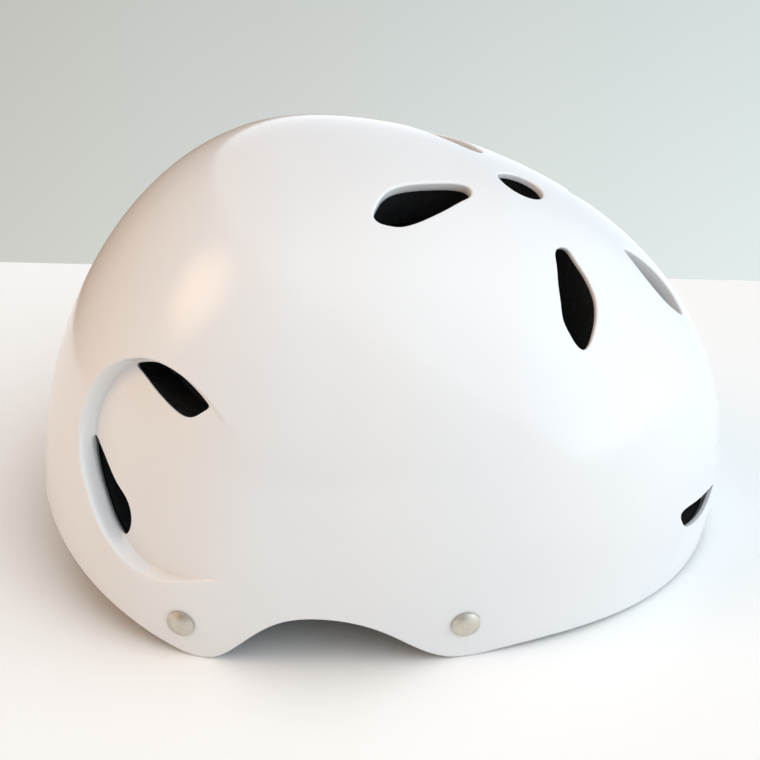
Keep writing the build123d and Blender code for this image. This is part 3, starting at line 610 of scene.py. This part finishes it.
def texture(tree, kind, **settings):
    made = node(tree, kind, **settings)
    tree.links.new(node(tree, "ShaderNodeTexCoord").outputs["Object"], made.inputs["Vector"])
    return made.outputs


def noise(tree, scale, detail):
    return texture(tree, "ShaderNodeTexNoise", Scale=scale, Detail=detail)["Fac"]


def cells(tree, scale):
    return texture(tree, "ShaderNodeTexVoronoi", Scale=scale)["Distance"]


def computed(tree, operation, *values):
    made = node(tree, "ShaderNodeMath", operation=operation)
    for value, socket in zip(values, made.inputs):
        feed(tree, value, socket)
    return made.outputs[0]


def ramp(tree, value, low, high, to_low, to_high):
    made = node(tree, "ShaderNodeMapRange")
    for key, number in (("From Min", low), ("From Max", high), ("To Min", to_low), ("To Max", to_high)):
        made.inputs[key].default_value = number
    tree.links.new(value, made.inputs["Value"])
    return made.outputs["Result"]


def mix_colors(tree, factor, first, second, how="MIX"):
    made = node(tree, "ShaderNodeMix", data_type="RGBA", blend_type=how)
    for value, place in ((factor, MIX_FACTOR), (first, MIX_FIRST), (second, MIX_SECOND)):
        feed(tree, value, made.inputs[place])
    return made.outputs[MIX_RESULT]


def tint(tree, shader, factor, first, second):
    tree.links.new(mix_colors(tree, factor, first, second), shader.inputs["Base Color"])


def roughen(tree, shader, value, low, high, to_low, to_high):
    tree.links.new(ramp(tree, value, low, high, to_low, to_high), shader.inputs["Roughness"])


def bump(tree, shader, height, distance, strength):
    made = node(tree, "ShaderNodeBump", Distance=distance, Strength=strength)
    tree.links.new(height, made.inputs["Height"])
    tree.links.new(made.outputs["Normal"], shader.inputs["Normal"])


def white_plastic():
    made, tree, shader = material("satin_white", (0.83, 0.82, 0.82), 0.2, Specular_IOR_Level=0.75)
    broad = ramp(tree, noise(tree, 14, 2), 0.35, 0.65, 0, 1)
    tint(tree, shader, broad, (0.815, 0.812, 0.815), (0.845, 0.838, 0.83))
    roughen(tree, shader, noise(tree, 45, 2), 0.3, 0.7, 0.13, 0.18)
    bump(tree, shader, noise(tree, 160, 1), 0.000006, 0.3)
    return made


def bead_foam():
    made, tree, shader = material("bead_foam", (0.012, 0.013, 0.014), 0.62)
    beads = cells(tree, 330.0)
    tint(tree, shader, noise(tree, 260, 3), (0.008, 0.009, 0.010), (0.026, 0.028, 0.029))
    roughen(tree, shader, beads, 0, 0.6, 0.5, 0.75)
    bump(tree, shader, ramp(tree, beads, 0, 0.6, 1, 0), 0.0004, 0.7)
    return made


def nickel():
    made, tree, shader = material("satin_nickel", (0.6, 0.57, 0.5), 0.33, 1.0)
    tint(tree, shader, noise(tree, 500, 4), (0.52, 0.49, 0.42), (0.68, 0.65, 0.58))
    roughen(tree, shader, noise(tree, 1500, 3), 0.3, 0.7, 0.26, 0.42)
    bump(tree, shader, noise(tree, 1800, 3), 0.00003, 0.4)
    return made


def black_plastic():
    made, tree, shader = material("black_plastic", (0.018, 0.018, 0.02), 0.42)
    tint(tree, shader, noise(tree, 90, 2), (0.014, 0.014, 0.015), (0.024, 0.024, 0.026))
    roughen(tree, shader, noise(tree, 700, 3), 0.3, 0.7, 0.36, 0.5)
    bump(tree, shader, noise(tree, 2600, 2), 0.00004, 0.5)
    return made


def hook_tape():
    made, tree, shader = material("hook_tape", (0.02, 0.02, 0.022), 0.8)
    hooks = cells(tree, 1400.0)
    tint(tree, shader, ramp(tree, hooks, 0, 0.5, 0, 1), (0.045, 0.045, 0.048), (0.01, 0.01, 0.011))
    bump(tree, shader, ramp(tree, hooks, 0, 0.5, 1, 0), 0.0003, 0.9)
    return made


def brushed_cloth():
    made, tree, shader = material("brushed_cloth", (0.03, 0.03, 0.033), 0.9, Sheen_Weight=0.35,
                                  Sheen_Roughness=0.5)
    knit = noise(tree, 1700, 4)
    tint(tree, shader, ramp(tree, knit, 0.35, 0.65, 0, 1), (0.018, 0.018, 0.02), (0.05, 0.05, 0.055))
    roughen(tree, shader, noise(tree, 60, 2), 0.3, 0.7, 0.84, 0.96)
    bump(tree, shader, knit, 0.0003, 0.8)
    return made


def thread():
    made, tree, shader = material("sewing_thread", (0.05, 0.05, 0.055), 0.7)
    twist = texture(tree, "ShaderNodeTexWave", Scale=900.0, Distortion=1.0)["Fac"]
    tint(tree, shader, twist, (0.035, 0.035, 0.038), (0.08, 0.08, 0.085))
    bump(tree, shader, twist, 0.0001, 0.6)
    return made


def woven_strap():
    # The weave runs by the strap's own length and width, which its UV map holds in millimetres.
    made, tree, shader = material("woven_strap", (0.02, 0.02, 0.022), 0.75, Sheen_Weight=0.2,
                                  Sheen_Roughness=0.4)
    split = node(tree, "ShaderNodeSeparateXYZ")
    tree.links.new(node(tree, "ShaderNodeTexCoord").outputs["UV"], split.inputs["Vector"])
    along, wide = split.outputs["X"], split.outputs["Y"]
    ribs = computed(tree, "SINE", computed(tree, "MULTIPLY", wide, 2 * pi / RIB_GAP))
    slanted = computed(tree, "MULTIPLY", ribs, WEAVE_SLANT)
    ahead = computed(tree, "ADD", computed(tree, "MULTIPLY", along, 2 * pi / PICK_GAP), slanted)
    level = ramp(tree, computed(tree, "ADD", ribs, computed(tree, "SINE", ahead)), -2, 2, 0, 1)
    tint(tree, shader, level, (0.01, 0.01, 0.011), (0.045, 0.045, 0.05))
    roughen(tree, shader, level, 0, 1, 0.85, 0.65)
    bump(tree, shader, level, 0.0003, 0.8)
    return made


# Shell and the rigid pieces that keep their CAD form

white, foam, metal, plastic = white_plastic(), bead_foam(), nickel(), black_plastic()
tape, cloth, webbing_look, thread_look = hook_tape(), brushed_cloth(), woven_strap(), thread()

shell_points, shell_faces = shell_mesh()
shell = mesh_object("helmet_shell", shell_points, shell_faces, "helmet", white)
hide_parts("shell")

KEPT = {
    "eps_liner": foam, "rivets": metal, "rivet_washers": metal, "hook_patches": tape,
    "divider_right": plastic, "divider_left": plastic, "cam_lever_right": plastic, "cam_lever_left": plastic,
    "buckle_socket": plastic, "buckle_plug": plastic, "strap_slider": plastic,
}
for name, look in KEPT.items():
    kept = nodes[name]
    kept.data.materials.clear()
    kept.data.materials.append(look)


# Webbing

# The CAD webbing's thickness, the gap between the rings of the mesh, and its section, as (across, up).
WEB_WALL, WEB_STEP = 1.5, 0.7
SECTION = [(-7.95, 0), (-7.8, 0.45), (-7.35, 0.68), (-6.7, 0.6), (-4.5, 0.58), (-2.2, 0.6), (0, 0.58),
           (2.2, 0.6), (4.5, 0.58), (6.7, 0.6), (7.35, 0.68), (7.8, 0.45), (7.95, 0)]
SECTION += [(u, -w) for u, w in reversed(SECTION[1:-1])]


def ribbon(name, node_name, points, side_a, side_b, turn_mm=(0, 1), flip=False):
    # Webbing along the points. Its side turns from the first direction to the second between two lengths.
    curve = through(points)
    length = np.linalg.norm(np.diff(even(curve, 400), axis=0), axis=1).sum()
    count = int(length / WEB_STEP)
    line = even(curve, count)
    run = unit(np.gradient(line, axis=0))
    at = np.linspace(0, 1, count)
    mix = np.clip((at - turn_mm[0] / length) / ((turn_mm[1] - turn_mm[0]) / length), 0, 1)[:, None]
    side = np.array(side_a) * (1 - mix) + np.array(side_b) * mix
    side = unit(side - run * (run * side).sum(1, keepdims=True))
    face = np.cross(run, side)
    m = len(SECTION)
    widths = [0.0]
    for (u0, w0), (u1, w1) in zip(SECTION, SECTION[1:]):
        widths.append(widths[-1] + np.hypot(u1 - u0, w1 - w0))
    spots, uv = [], []
    for i in range(count):
        for k, (u, w) in enumerate(SECTION):
            spots.append(line[i] + side[i] * u + face[i] * w)
            uv.append((at[i] * length, widths[k]))
    faces = [tuple(range(m))[::-1], tuple(range((count - 1) * m, count * m))]
    for i in range(count - 1):
        for k in range(m):
            a, b = i * m + k, i * m + (k + 1) % m
            faces.append((a, b, b + m, a + m))
    spots = np.array(spots)
    if flip:
        spots = spots * np.array([-1.0, 1.0, 1.0])
        faces = [tuple(reversed(f)) for f in faces]
    piece = mesh_object(name, spots, faces, "helmet", webbing_look, uv=uv)
    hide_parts(node_name)
    return piece


# The straps' places, as in the CAD model: the right divider with its underside, top and slots, and the depth
# of the straps' tabs below the dome at the rivets.
DIVIDER = v3(-70.0, 24.0, 0.0)
DIVIDER_LOW, DIVIDER_HIGH = 1.6, 5.2
REAR_SLOT, FRONT_SLOT = v3(-6.5, 10.0, 0), v3(-6.0, -9.0, 0)
TAB_DEPTH = 4.2 + WEB_WALL / 2
front_rivet, rear_rivet = Place(91.6, 60.1), Place(92.0, 99.1)


def through_slot(end, run):
    # The end of a strap, over the divider's top and down into its slot.
    return [end - run * 5 + v3(0, 0, DIVIDER_HIGH + 2 * WEB_WALL),
            end - run * WEB_WALL / 2 + v3(0, 0, DIVIDER_HIGH + WEB_WALL),
            end + v3(0, 0, (DIVIDER_HIGH + DIVIDER_LOW) / 2), end + v3(0, 0, DIVIDER_LOW - WEB_WALL / 2)]


def level_run(start, end):
    return unit(v3(end[0] - start[0], end[1] - start[1], 0))


def side_strap(kind, side, points, side_a, run, turn_mm):
    # A strap from a rivet to the divider. The points are the right side's, and the left strap mirrors them.
    side_b = v3(-run[1], run[0], 0)
    side_a = side_a if side_a @ side_b > 0 else -side_a
    flip = side == "left"
    ribbon(f"{kind}_webbing_{side}", f"strap_{kind}_{side}", points, side_a, side_b, turn_mm, flip)


rear_end, front_end = DIVIDER + REAR_SLOT, DIVIDER + FRONT_SLOT
rear_tab = rear_rivet.origin - rear_rivet.out * TAB_DEPTH
rear_low = rear_tab - rear_rivet.up * 6
rear_run = level_run(rear_low, rear_end)
foot = v3(rear_low[0], rear_low[1], 0)
distance = np.linalg.norm(rear_end - foot)
# Down from the rivet, a turn at the floor, and a loop up before the divider.
rear_points = [rear_tab + rear_rivet.up * 8, rear_tab, rear_low]
rear_points += [foot + rear_run * into + v3(0, 0, z) for into, z in ((0.9, 4.8), (3.2, 2.7), (7.0, 2.3))]
rear_points += [foot + rear_run * (distance * share) + v3(0, 0, DIVIDER_LOW + up)
                for share, up in ((0.4, 9.0), (0.62, 12.0), (0.8, 8.0))]
rear_points += through_slot(rear_end, rear_run)
front_tab = front_rivet.origin - front_rivet.out * TAB_DEPTH
front_route = [v3(-93.4, -24.0, 13.0), v3(-89.6, -9.0, 11.0), v3(-83.6, 2.4, 9.6)]
front_run = level_run(front_route[-1], front_end)
front_points = [front_tab + front_rivet.ahead * 8, front_tab, front_tab - front_rivet.ahead * 8]
front_points += front_route + through_slot(front_end, front_run)
for side in ("right", "left"):
    side_strap("rear", side, rear_points, rear_rivet.ahead, rear_run, (21, 42))
    side_strap("front", side, front_points, front_rivet.up, front_run, (20, 60))

# Chin straps stand up in an arch. The left one turns round the plug's bar, and its loose end lies under the
# slider.
BUCKLE_Y = 24.0
INNER_X = -61.4
BAR_X, PLUG_BAR_X = -25.9, 7.9


def lift(x, z):
    return v3(x, BUCKLE_Y, z)


across = v3(0, 1, 0)
right_chin = [lift(INNER_X, 0.85), lift(INNER_X, 3.4), lift(INNER_X - 1.5, 15.6), lift(INNER_X - 1.5, 26),
              lift((INNER_X + BAR_X) / 2, 38), lift(BAR_X + 1.5, 26), lift(BAR_X + 1.5, 15.6),
              lift(BAR_X, 8.8), lift(BAR_X, 4.8), lift(BAR_X, 1.55)]
left_chin = [lift(31, 5.3), lift(24.25, 5.3), lift(18.25, 5.3), lift(14.8, 6.8), lift(12.9, 8.9),
             lift(10.8, 9.9), lift(PLUG_BAR_X + 0.375, 8.4), lift(PLUG_BAR_X, 6.55),
             lift(PLUG_BAR_X + 0.375, 4.7), lift(10.8, 3.2), lift(17.5, 3.2), lift(25.25, 3.2), lift(33, 3.2),
             lift(39.4, 13), lift(39.4, 26), lift(50.4, 38), lift(62.9, 26), lift(62.9, 13),
             lift(-INNER_X, 3.4), lift(-INNER_X, 0.85)]
ribbon("chin_webbing_right", "chin_strap_right", right_chin, across, across)
chin_left = ribbon("chin_webbing_left", "chin_strap_left", left_chin, across, across)
# The left chin strap is left without a parent, and its place is baked into its mesh.
chin_left.parent = None
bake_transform(chin_left)


# Pads

# The pads' backs lie this deep under the dome, with a small gap. A pad's flange starts at this share of the
# way out from its middle, and its crown rises over the flange by its thickness less an allowance.
PAD_SEAT, PAD_BASE, FLANGE = 25.8, 0.15, 0.88
FLANGE_THICK, CROWN_LOSS, CROWN_POWER = 1.5, 2.4, 0.62
# A sewn channel takes this share of the rise away. Its width and where the cloth is held are shares across.
GROOVE_DEPTH, GROOVE_WIDTH, GROOVE_HELD = 0.72, 0.055, 0.035
# Rings of the mesh over the crown, over the flange, with the share of the height left there, and below.
CROWN_RINGS = 20
FLANGE_RINGS = [(0.9, 1.0), (0.93, 1.0), (0.96, 1.0), (0.985, 0.9), (1.0, 0.55)]
BASE_RINGS = (0.985, 0.7, 0.35)
# Each pad: its place and its reach up and across, in degrees, its thickness, the points round it, and where
# its sewn channels run.
PADS = {
    "brow_pad": ((79, 0), (11, 52), 9.0, 118, (-0.6, -0.2, 0.2, 0.6)),
    "rear_pad": ((77, 180), (13, 38), 9.0, 96, (-0.33, 0.33)),
    "side_pad_right": ((66, 97), (15, 24), 8.0, 72, (0.0,)),
    "side_pad_left": ((66, -97), (15, 24), 8.0, 72, (0.0,)),
    "crown_pad": ((9, 180), (15, 24), 7.0, 64, (0.0,)),
}

CLOTH_FRAMES, PUFF_LIMIT = 18, 0.0022
# The row of stitches: its share of the way out and its height, and each stitch's step, share of the step,
# radius, sides, and rows as (share of the length, share of the radius).
SEAM_AT, SEAM_HEIGHT = 0.94, 1.7
STITCH_STEP, STITCH_SHARE, STITCH_RADIUS, STITCH_SIDES = 3.2, 0.68, 0.28, 6
STITCH_ROWS = ((0, 0.35), (0.15, 0.85), (0.35, 1), (0.65, 1), (0.85, 0.85), (1, 0.35))


def pad_frame(place, reaches):
    # Points of a pad from shares up and across and the depth below the dome.
    centre = toward(np.array(radians(place[0])), np.array(radians(place[1])))
    across_way = np.cross(v3(0, 0, 1), centre)
    across_way = unit(across_way) if np.linalg.norm(across_way) > BLEND else v3(1, 0, 0)
    upward = np.cross(centre, across_way)

    def at(a, b, inset):
        turn = np.radians(reaches[1]) * b
        tip = np.radians(reaches[0]) * a
        d = centre * np.cos(turn)[..., None] + across_way * np.sin(turn)[..., None]
        d = d * np.cos(tip)[..., None] + upward * np.sin(tip)[..., None]
        return dome(d, inset)
    return at


def pad_outline(count):
    # A rounded rectangle, as shares up and across.
    angle = np.linspace(0, 2 * pi, count, endpoint=False)
    up, wide = np.sin(angle), np.cos(angle)
    return np.sign(up) * np.abs(up) ** 0.5, np.sign(wide) * np.abs(wide) ** 0.5


def pad_height(rho, b, thickness, channels):
    # Thin sewn flange, then a full crown with a groove along each sewn channel.
    inside = np.clip(1 - (rho / FLANGE) ** 4, 0, 1)
    height = FLANGE_THICK + (thickness - CROWN_LOSS) * inside ** CROWN_POWER
    for line in channels:
        height -= (height - FLANGE_THICK) * GROOVE_DEPTH * np.exp(-((b - line) / GROOVE_WIDTH) ** 2)
    return height


def simulate(piece, cap):
    # Lets the crown puff out between its sewn lines, and keeps the result.
    mod = piece.modifiers.new("Cloth", "CLOTH")
    mod.settings.use_pressure = True
    mod.settings.uniform_pressure_force = 4.0
    mod.settings.effector_weights.gravity = 0.0
    mod.settings.vertex_group_mass = "held"
    mod.settings.quality = 6
    mod.settings.shrink_min = -0.04
    mod.collision_settings.use_collision = False
    scene = bpy.context.scene
    for number in range(1, CLOTH_FRAMES + 1):
        scene.frame_set(number)
    made = bpy.data.meshes.new_from_object(piece.evaluated_get(bpy.context.evaluated_depsgraph_get()))
    after = np.array([v.co for v in made.vertices])
    before = np.array([v.co for v in piece.data.vertices])
    move = after - before
    size = np.linalg.norm(move, axis=1, keepdims=True)
    move *= np.minimum(1, cap / np.maximum(size, TINY))
    piece.modifiers.remove(mod)
    bpy.data.meshes.remove(made)
    piece.data.vertices.foreach_set("co", (before + move).ravel())
    piece.data.update()
    scene.frame_set(1)


def capsule(start, end):
    # A short stitch with rounded ends.
    run = unit(end - start)
    side = unit(np.cross(run, v3(0.3, 0.5, 0.81)))
    other = np.cross(run, side)
    length, count = np.linalg.norm(end - start), STITCH_SIDES
    spots, faces = [], []
    for s, r in STITCH_ROWS:
        for k in range(count):
            a = 2 * pi * k / count
            spots.append(start + run * (s * length) + (side * cos(a) + other * sin(a)) * STITCH_RADIUS * r)
    last = (len(STITCH_ROWS) - 1) * count
    for i in range(0, last, count):
        for k in range(count):
            a, b = i + k, i + (k + 1) % count
            faces.append((a, b, b + count, a + count))
    faces.append(tuple(range(count))[::-1])
    faces.append(tuple(range(last, last + count)))
    return spots, faces


def cushion(name, at, thickness, around, channels):
    up, wide = pad_outline(around)
    middle = np.array(0.0)
    rows = [at(middle, middle, PAD_SEAT + pad_height(0.0, 0.0, thickness, channels))[None]]
    held = [False]
    crown = [(rho, 1.0) for rho in np.linspace(0, FLANGE, CROWN_RINGS + 1)[1:]]
    for rho, left in crown + FLANGE_RINGS:
        height = pad_height(rho, wide * rho, thickness, channels) * left
        rows.append(at(up * rho, wide * rho, PAD_SEAT + height))
        groove = np.min([np.abs(wide * rho - line) for line in channels], axis=0) < GROOVE_HELD
        held += list((rho > FLANGE - 0.02) | groove)
    for rho in BASE_RINGS:
        rows.append(at(up * rho, wide * rho, np.full(around, PAD_SEAT + PAD_BASE)))
        held += [True] * around
    rows.append(at(middle, middle, PAD_SEAT + PAD_BASE)[None])
    held.append(True)
    spots = np.vstack(rows)
    last = 1 + (len(rows) - 3) * around
    faces = [(0, 1 + k, 1 + (k + 1) % around) for k in range(around)]
    for i in range(1, last, around):
        for k in range(around):
            a, b = i + k, i + (k + 1) % around
            faces.append((a, a + around, b + around, b))
    faces += [(last + k, len(spots) - 1, last + (k + 1) % around) for k in range(around)]
    piece = mesh_object(f"{name}_cushion", spots, faces, "helmet", cloth)
    group = piece.vertex_groups.new(name="held")
    group.add([i for i, h in enumerate(held) if h], 1.0, "REPLACE")
    simulate(piece, PUFF_LIMIT)
    piece.modifiers.new("Smooth", "SUBSURF").render_levels = 1
    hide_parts(name)


def stitching(name, at, around):
    # A round of stitches on the pad's flange.
    up, wide = pad_outline(4 * around)
    loop = at(up * SEAM_AT, wide * SEAM_AT, np.full(4 * around, PAD_SEAT + SEAM_HEIGHT))
    loop = np.vstack([loop, loop[:1]])
    run = np.concatenate([[0], np.cumsum(np.linalg.norm(np.diff(loop, axis=0), axis=1))])
    count = int(run[-1] / STITCH_STEP)

    def along(steps):
        return np.stack([np.interp(steps * run[-1] / count, run, loop[:, i]) for i in range(3)], 1)

    spots, faces = [], []
    for start, end in zip(along(np.arange(count)), along(np.arange(count) + STITCH_SHARE)):
        stitch, stitch_faces = capsule(start, end)
        faces += [tuple(len(spots) + i for i in f) for f in stitch_faces]
        spots += stitch
    mesh_object(f"{name}_stitching", np.array(spots), faces, "helmet", thread_look)


for name, (place, reaches, thickness, around, channels) in PADS.items():
    at = pad_frame(place, reaches)
    cushion(name, at, thickness, around, channels)
    stitching(name, at, around)


# Stage, camera and light

# The camera's angles, its distance and aim in metres, its focal length in pixels and the picture's size.
AZIMUTH, ELEVATION, DISTANCE = radians(-81.05), radians(30.14), 0.6
TARGET = Vector((0, -0.0003, 0.05307))
FOCAL_PIXELS, PICTURE = 1571.0, 760.0
# Where the table's far edge meets the photograph's left and right sides, in pixels, and the table's size.
TABLE_EDGE = (0, 262), (760, 281)
TABLE_REACH, TABLE_DEPTH, TABLE_THICK = 4, 6, 0.03

camera_data = bpy.data.cameras.new("camera")
camera_data.sensor_width = 36.0
camera_data.lens = camera_data.sensor_width * FOCAL_PIXELS / PICTURE
camera = bpy.data.objects.new("camera", camera_data)
bpy.context.scene.collection.objects.link(camera)
back = Vector((sin(AZIMUTH) * cos(ELEVATION), -cos(AZIMUTH) * cos(ELEVATION), sin(ELEVATION)))
camera.location = TARGET + back * DISTANCE
camera.rotation_mode = "QUATERNION"
camera.rotation_quaternion = (-back).to_track_quat("-Z", "Y")
bpy.context.scene.camera = camera
picture_right = Vector((0, 0, 1)).cross(back).normalized()
picture_up = back.cross(picture_right)


def on_floor(px, py):
    ray = -back * FOCAL_PIXELS + picture_right * (px - PICTURE / 2) - picture_up * (py - PICTURE / 2)
    return camera.location - ray * (camera.location.z / ray.z)


def table_look():
    # The camera and glossy reflections see a paler table than the one that sheds light on the helmet.
    made, tree, shader = material("white_table", (0.86, 0.86, 0.85), 0.42)
    bump(tree, shader, noise(tree, 300, 3), 0.00003, 0.3)
    broad = noise(tree, 3, 2)
    rays = node(tree, "ShaderNodeLightPath").outputs
    shown = computed(tree, "MAXIMUM", rays["Is Camera Ray"], rays["Is Glossy Ray"])
    dull = mix_colors(tree, broad, (0.85, 0.855, 0.84), (0.88, 0.885, 0.875))
    pale = mix_colors(tree, broad, (0.97, 0.965, 0.95), (1.0, 0.995, 0.98))
    tint(tree, shader, shown, dull, pale)
    return made


table_left, table_right = (on_floor(*corner) for corner in TABLE_EDGE)
edge_way = (table_right - table_left).normalized()
near_way = Vector((0, 0, 1)).cross(edge_way).normalized()
if near_way.dot(back) < 0:
    near_way = -near_way
far_corners = [table_left - edge_way * TABLE_REACH, table_left + edge_way * TABLE_REACH]
corners = far_corners + [corner + near_way * TABLE_DEPTH for corner in reversed(far_corners)]
drop = Vector((0, 0, -TABLE_THICK))
table_mesh = bpy.data.meshes.new("table")
table_mesh.from_pydata([tuple(c) for c in corners] + [tuple(c + drop) for c in corners], [],
                       [(0, 1, 2, 3), (7, 6, 5, 4), (0, 4, 5, 1), (1, 5, 6, 2), (2, 6, 7, 3), (3, 7, 4, 0)])
table_mesh.materials.append(table_look())
table = bpy.data.objects.new("table", table_mesh)
bpy.context.scene.collection.objects.link(table)

# The room's light is a cool window side and a warm dim side, with a sharp border. Shades dim the window's
# middle, the ceiling and what lies behind the camera: each is a direction, where it starts and is full, and
# what it leaves. Glows add a cool light from the front, a warm one from the rear and a warm spot above.
WINDOW = Vector((0.52, -0.607, 0.601)).normalized()
WINDOW_EDGE, DIM_SIDE, WINDOW_SIDE = (0.27, 0.29), (0.28, 0.175, 0.105), (1.27, 1.35, 1.44)
SHADES = [(WINDOW, 0.3, 0.85, 0.42), ((-0.1, 0.4, 0.91), -0.1, 0.9, 0.45)]
GLOWS = [((-0.38, -0.86, 0.34), 0.1, (1.45, 1.67, 1.82)), ((-0.52, 0.83, 0.2), 0.2, (0.9, 0.71, 0.55)),
         ((-0.226, 0.657, 0.719), 0.95, (3.1, 1.95, 1.2))]
CAMERA_SHADE = ((-0.96, -0.12, 0.2), 0.4, 1.0, 0.38)
# The camera alone sees a grey-green wall, which is bluer at the right and lighter low down.
WALL_LEFT, WALL_RIGHT, WALL_ACROSS = (0.55, 0.55, 0.51), (0.69, 0.76, 0.76), (-0.25, 0.25)
WALL_HIGH, WALL_LOW, WALL_DOWN = (0.98, 0.98, 0.98), (1.14, 1.14, 1.14), (0.28, 0.45)

world = bpy.data.worlds.new("room")
bpy.context.scene.world = world
world.use_nodes = True
tree = world.node_tree
tree.nodes.clear()
way = node(tree, "ShaderNodeTexCoord").outputs["Generated"]


def facing(direction, low, high):
    # 0 to 1 by how nearly a ray runs in this direction.
    dot = node(tree, "ShaderNodeVectorMath", operation="DOT_PRODUCT")
    tree.links.new(way, dot.inputs[0])
    dot.inputs[1].default_value = tuple(direction)
    return ramp(tree, dot.outputs["Value"], low, high, 0, 1)


def background(color):
    made = node(tree, "ShaderNodeBackground")
    tree.links.new(color, made.inputs["Color"])
    return made.outputs[0]


def shaded(color, direction, low, high, least):
    shade = mix_colors(tree, facing(direction, low, high), (1, 1, 1), (least, least, least))
    return mix_colors(tree, 1.0, color, shade, "MULTIPLY")


def glowing(color, direction, low, light):
    glow = mix_colors(tree, facing(Vector(direction).normalized(), low, 1.0), (0, 0, 0), light)
    return mix_colors(tree, 1.0, color, glow, "ADD")


room_color = mix_colors(tree, facing(WINDOW, *WINDOW_EDGE), DIM_SIDE, WINDOW_SIDE)
for shade in SHADES:
    room_color = shaded(room_color, *shade)
for glow in GLOWS:
    room_color = glowing(room_color, *glow)
room = background(shaded(room_color, *CAMERA_SHADE))
wall_color = mix_colors(tree, facing(picture_right, *WALL_ACROSS), WALL_LEFT, WALL_RIGHT)
wall_level = mix_colors(tree, facing((0, 0, -1), *WALL_DOWN), WALL_HIGH, WALL_LOW)
wall = background(mix_colors(tree, 1.0, wall_color, wall_level, "MULTIPLY"))
switch = node(tree, "ShaderNodeMixShader")
tree.links.new(node(tree, "ShaderNodeLightPath").outputs["Is Camera Ray"], switch.inputs[0])
tree.links.new(room, switch.inputs[1])
tree.links.new(wall, switch.inputs[2])
tree.links.new(switch.outputs[0], node(tree, "ShaderNodeOutputWorld").inputs[0])

bpy.context.scene.view_settings.view_transform = "Standard"
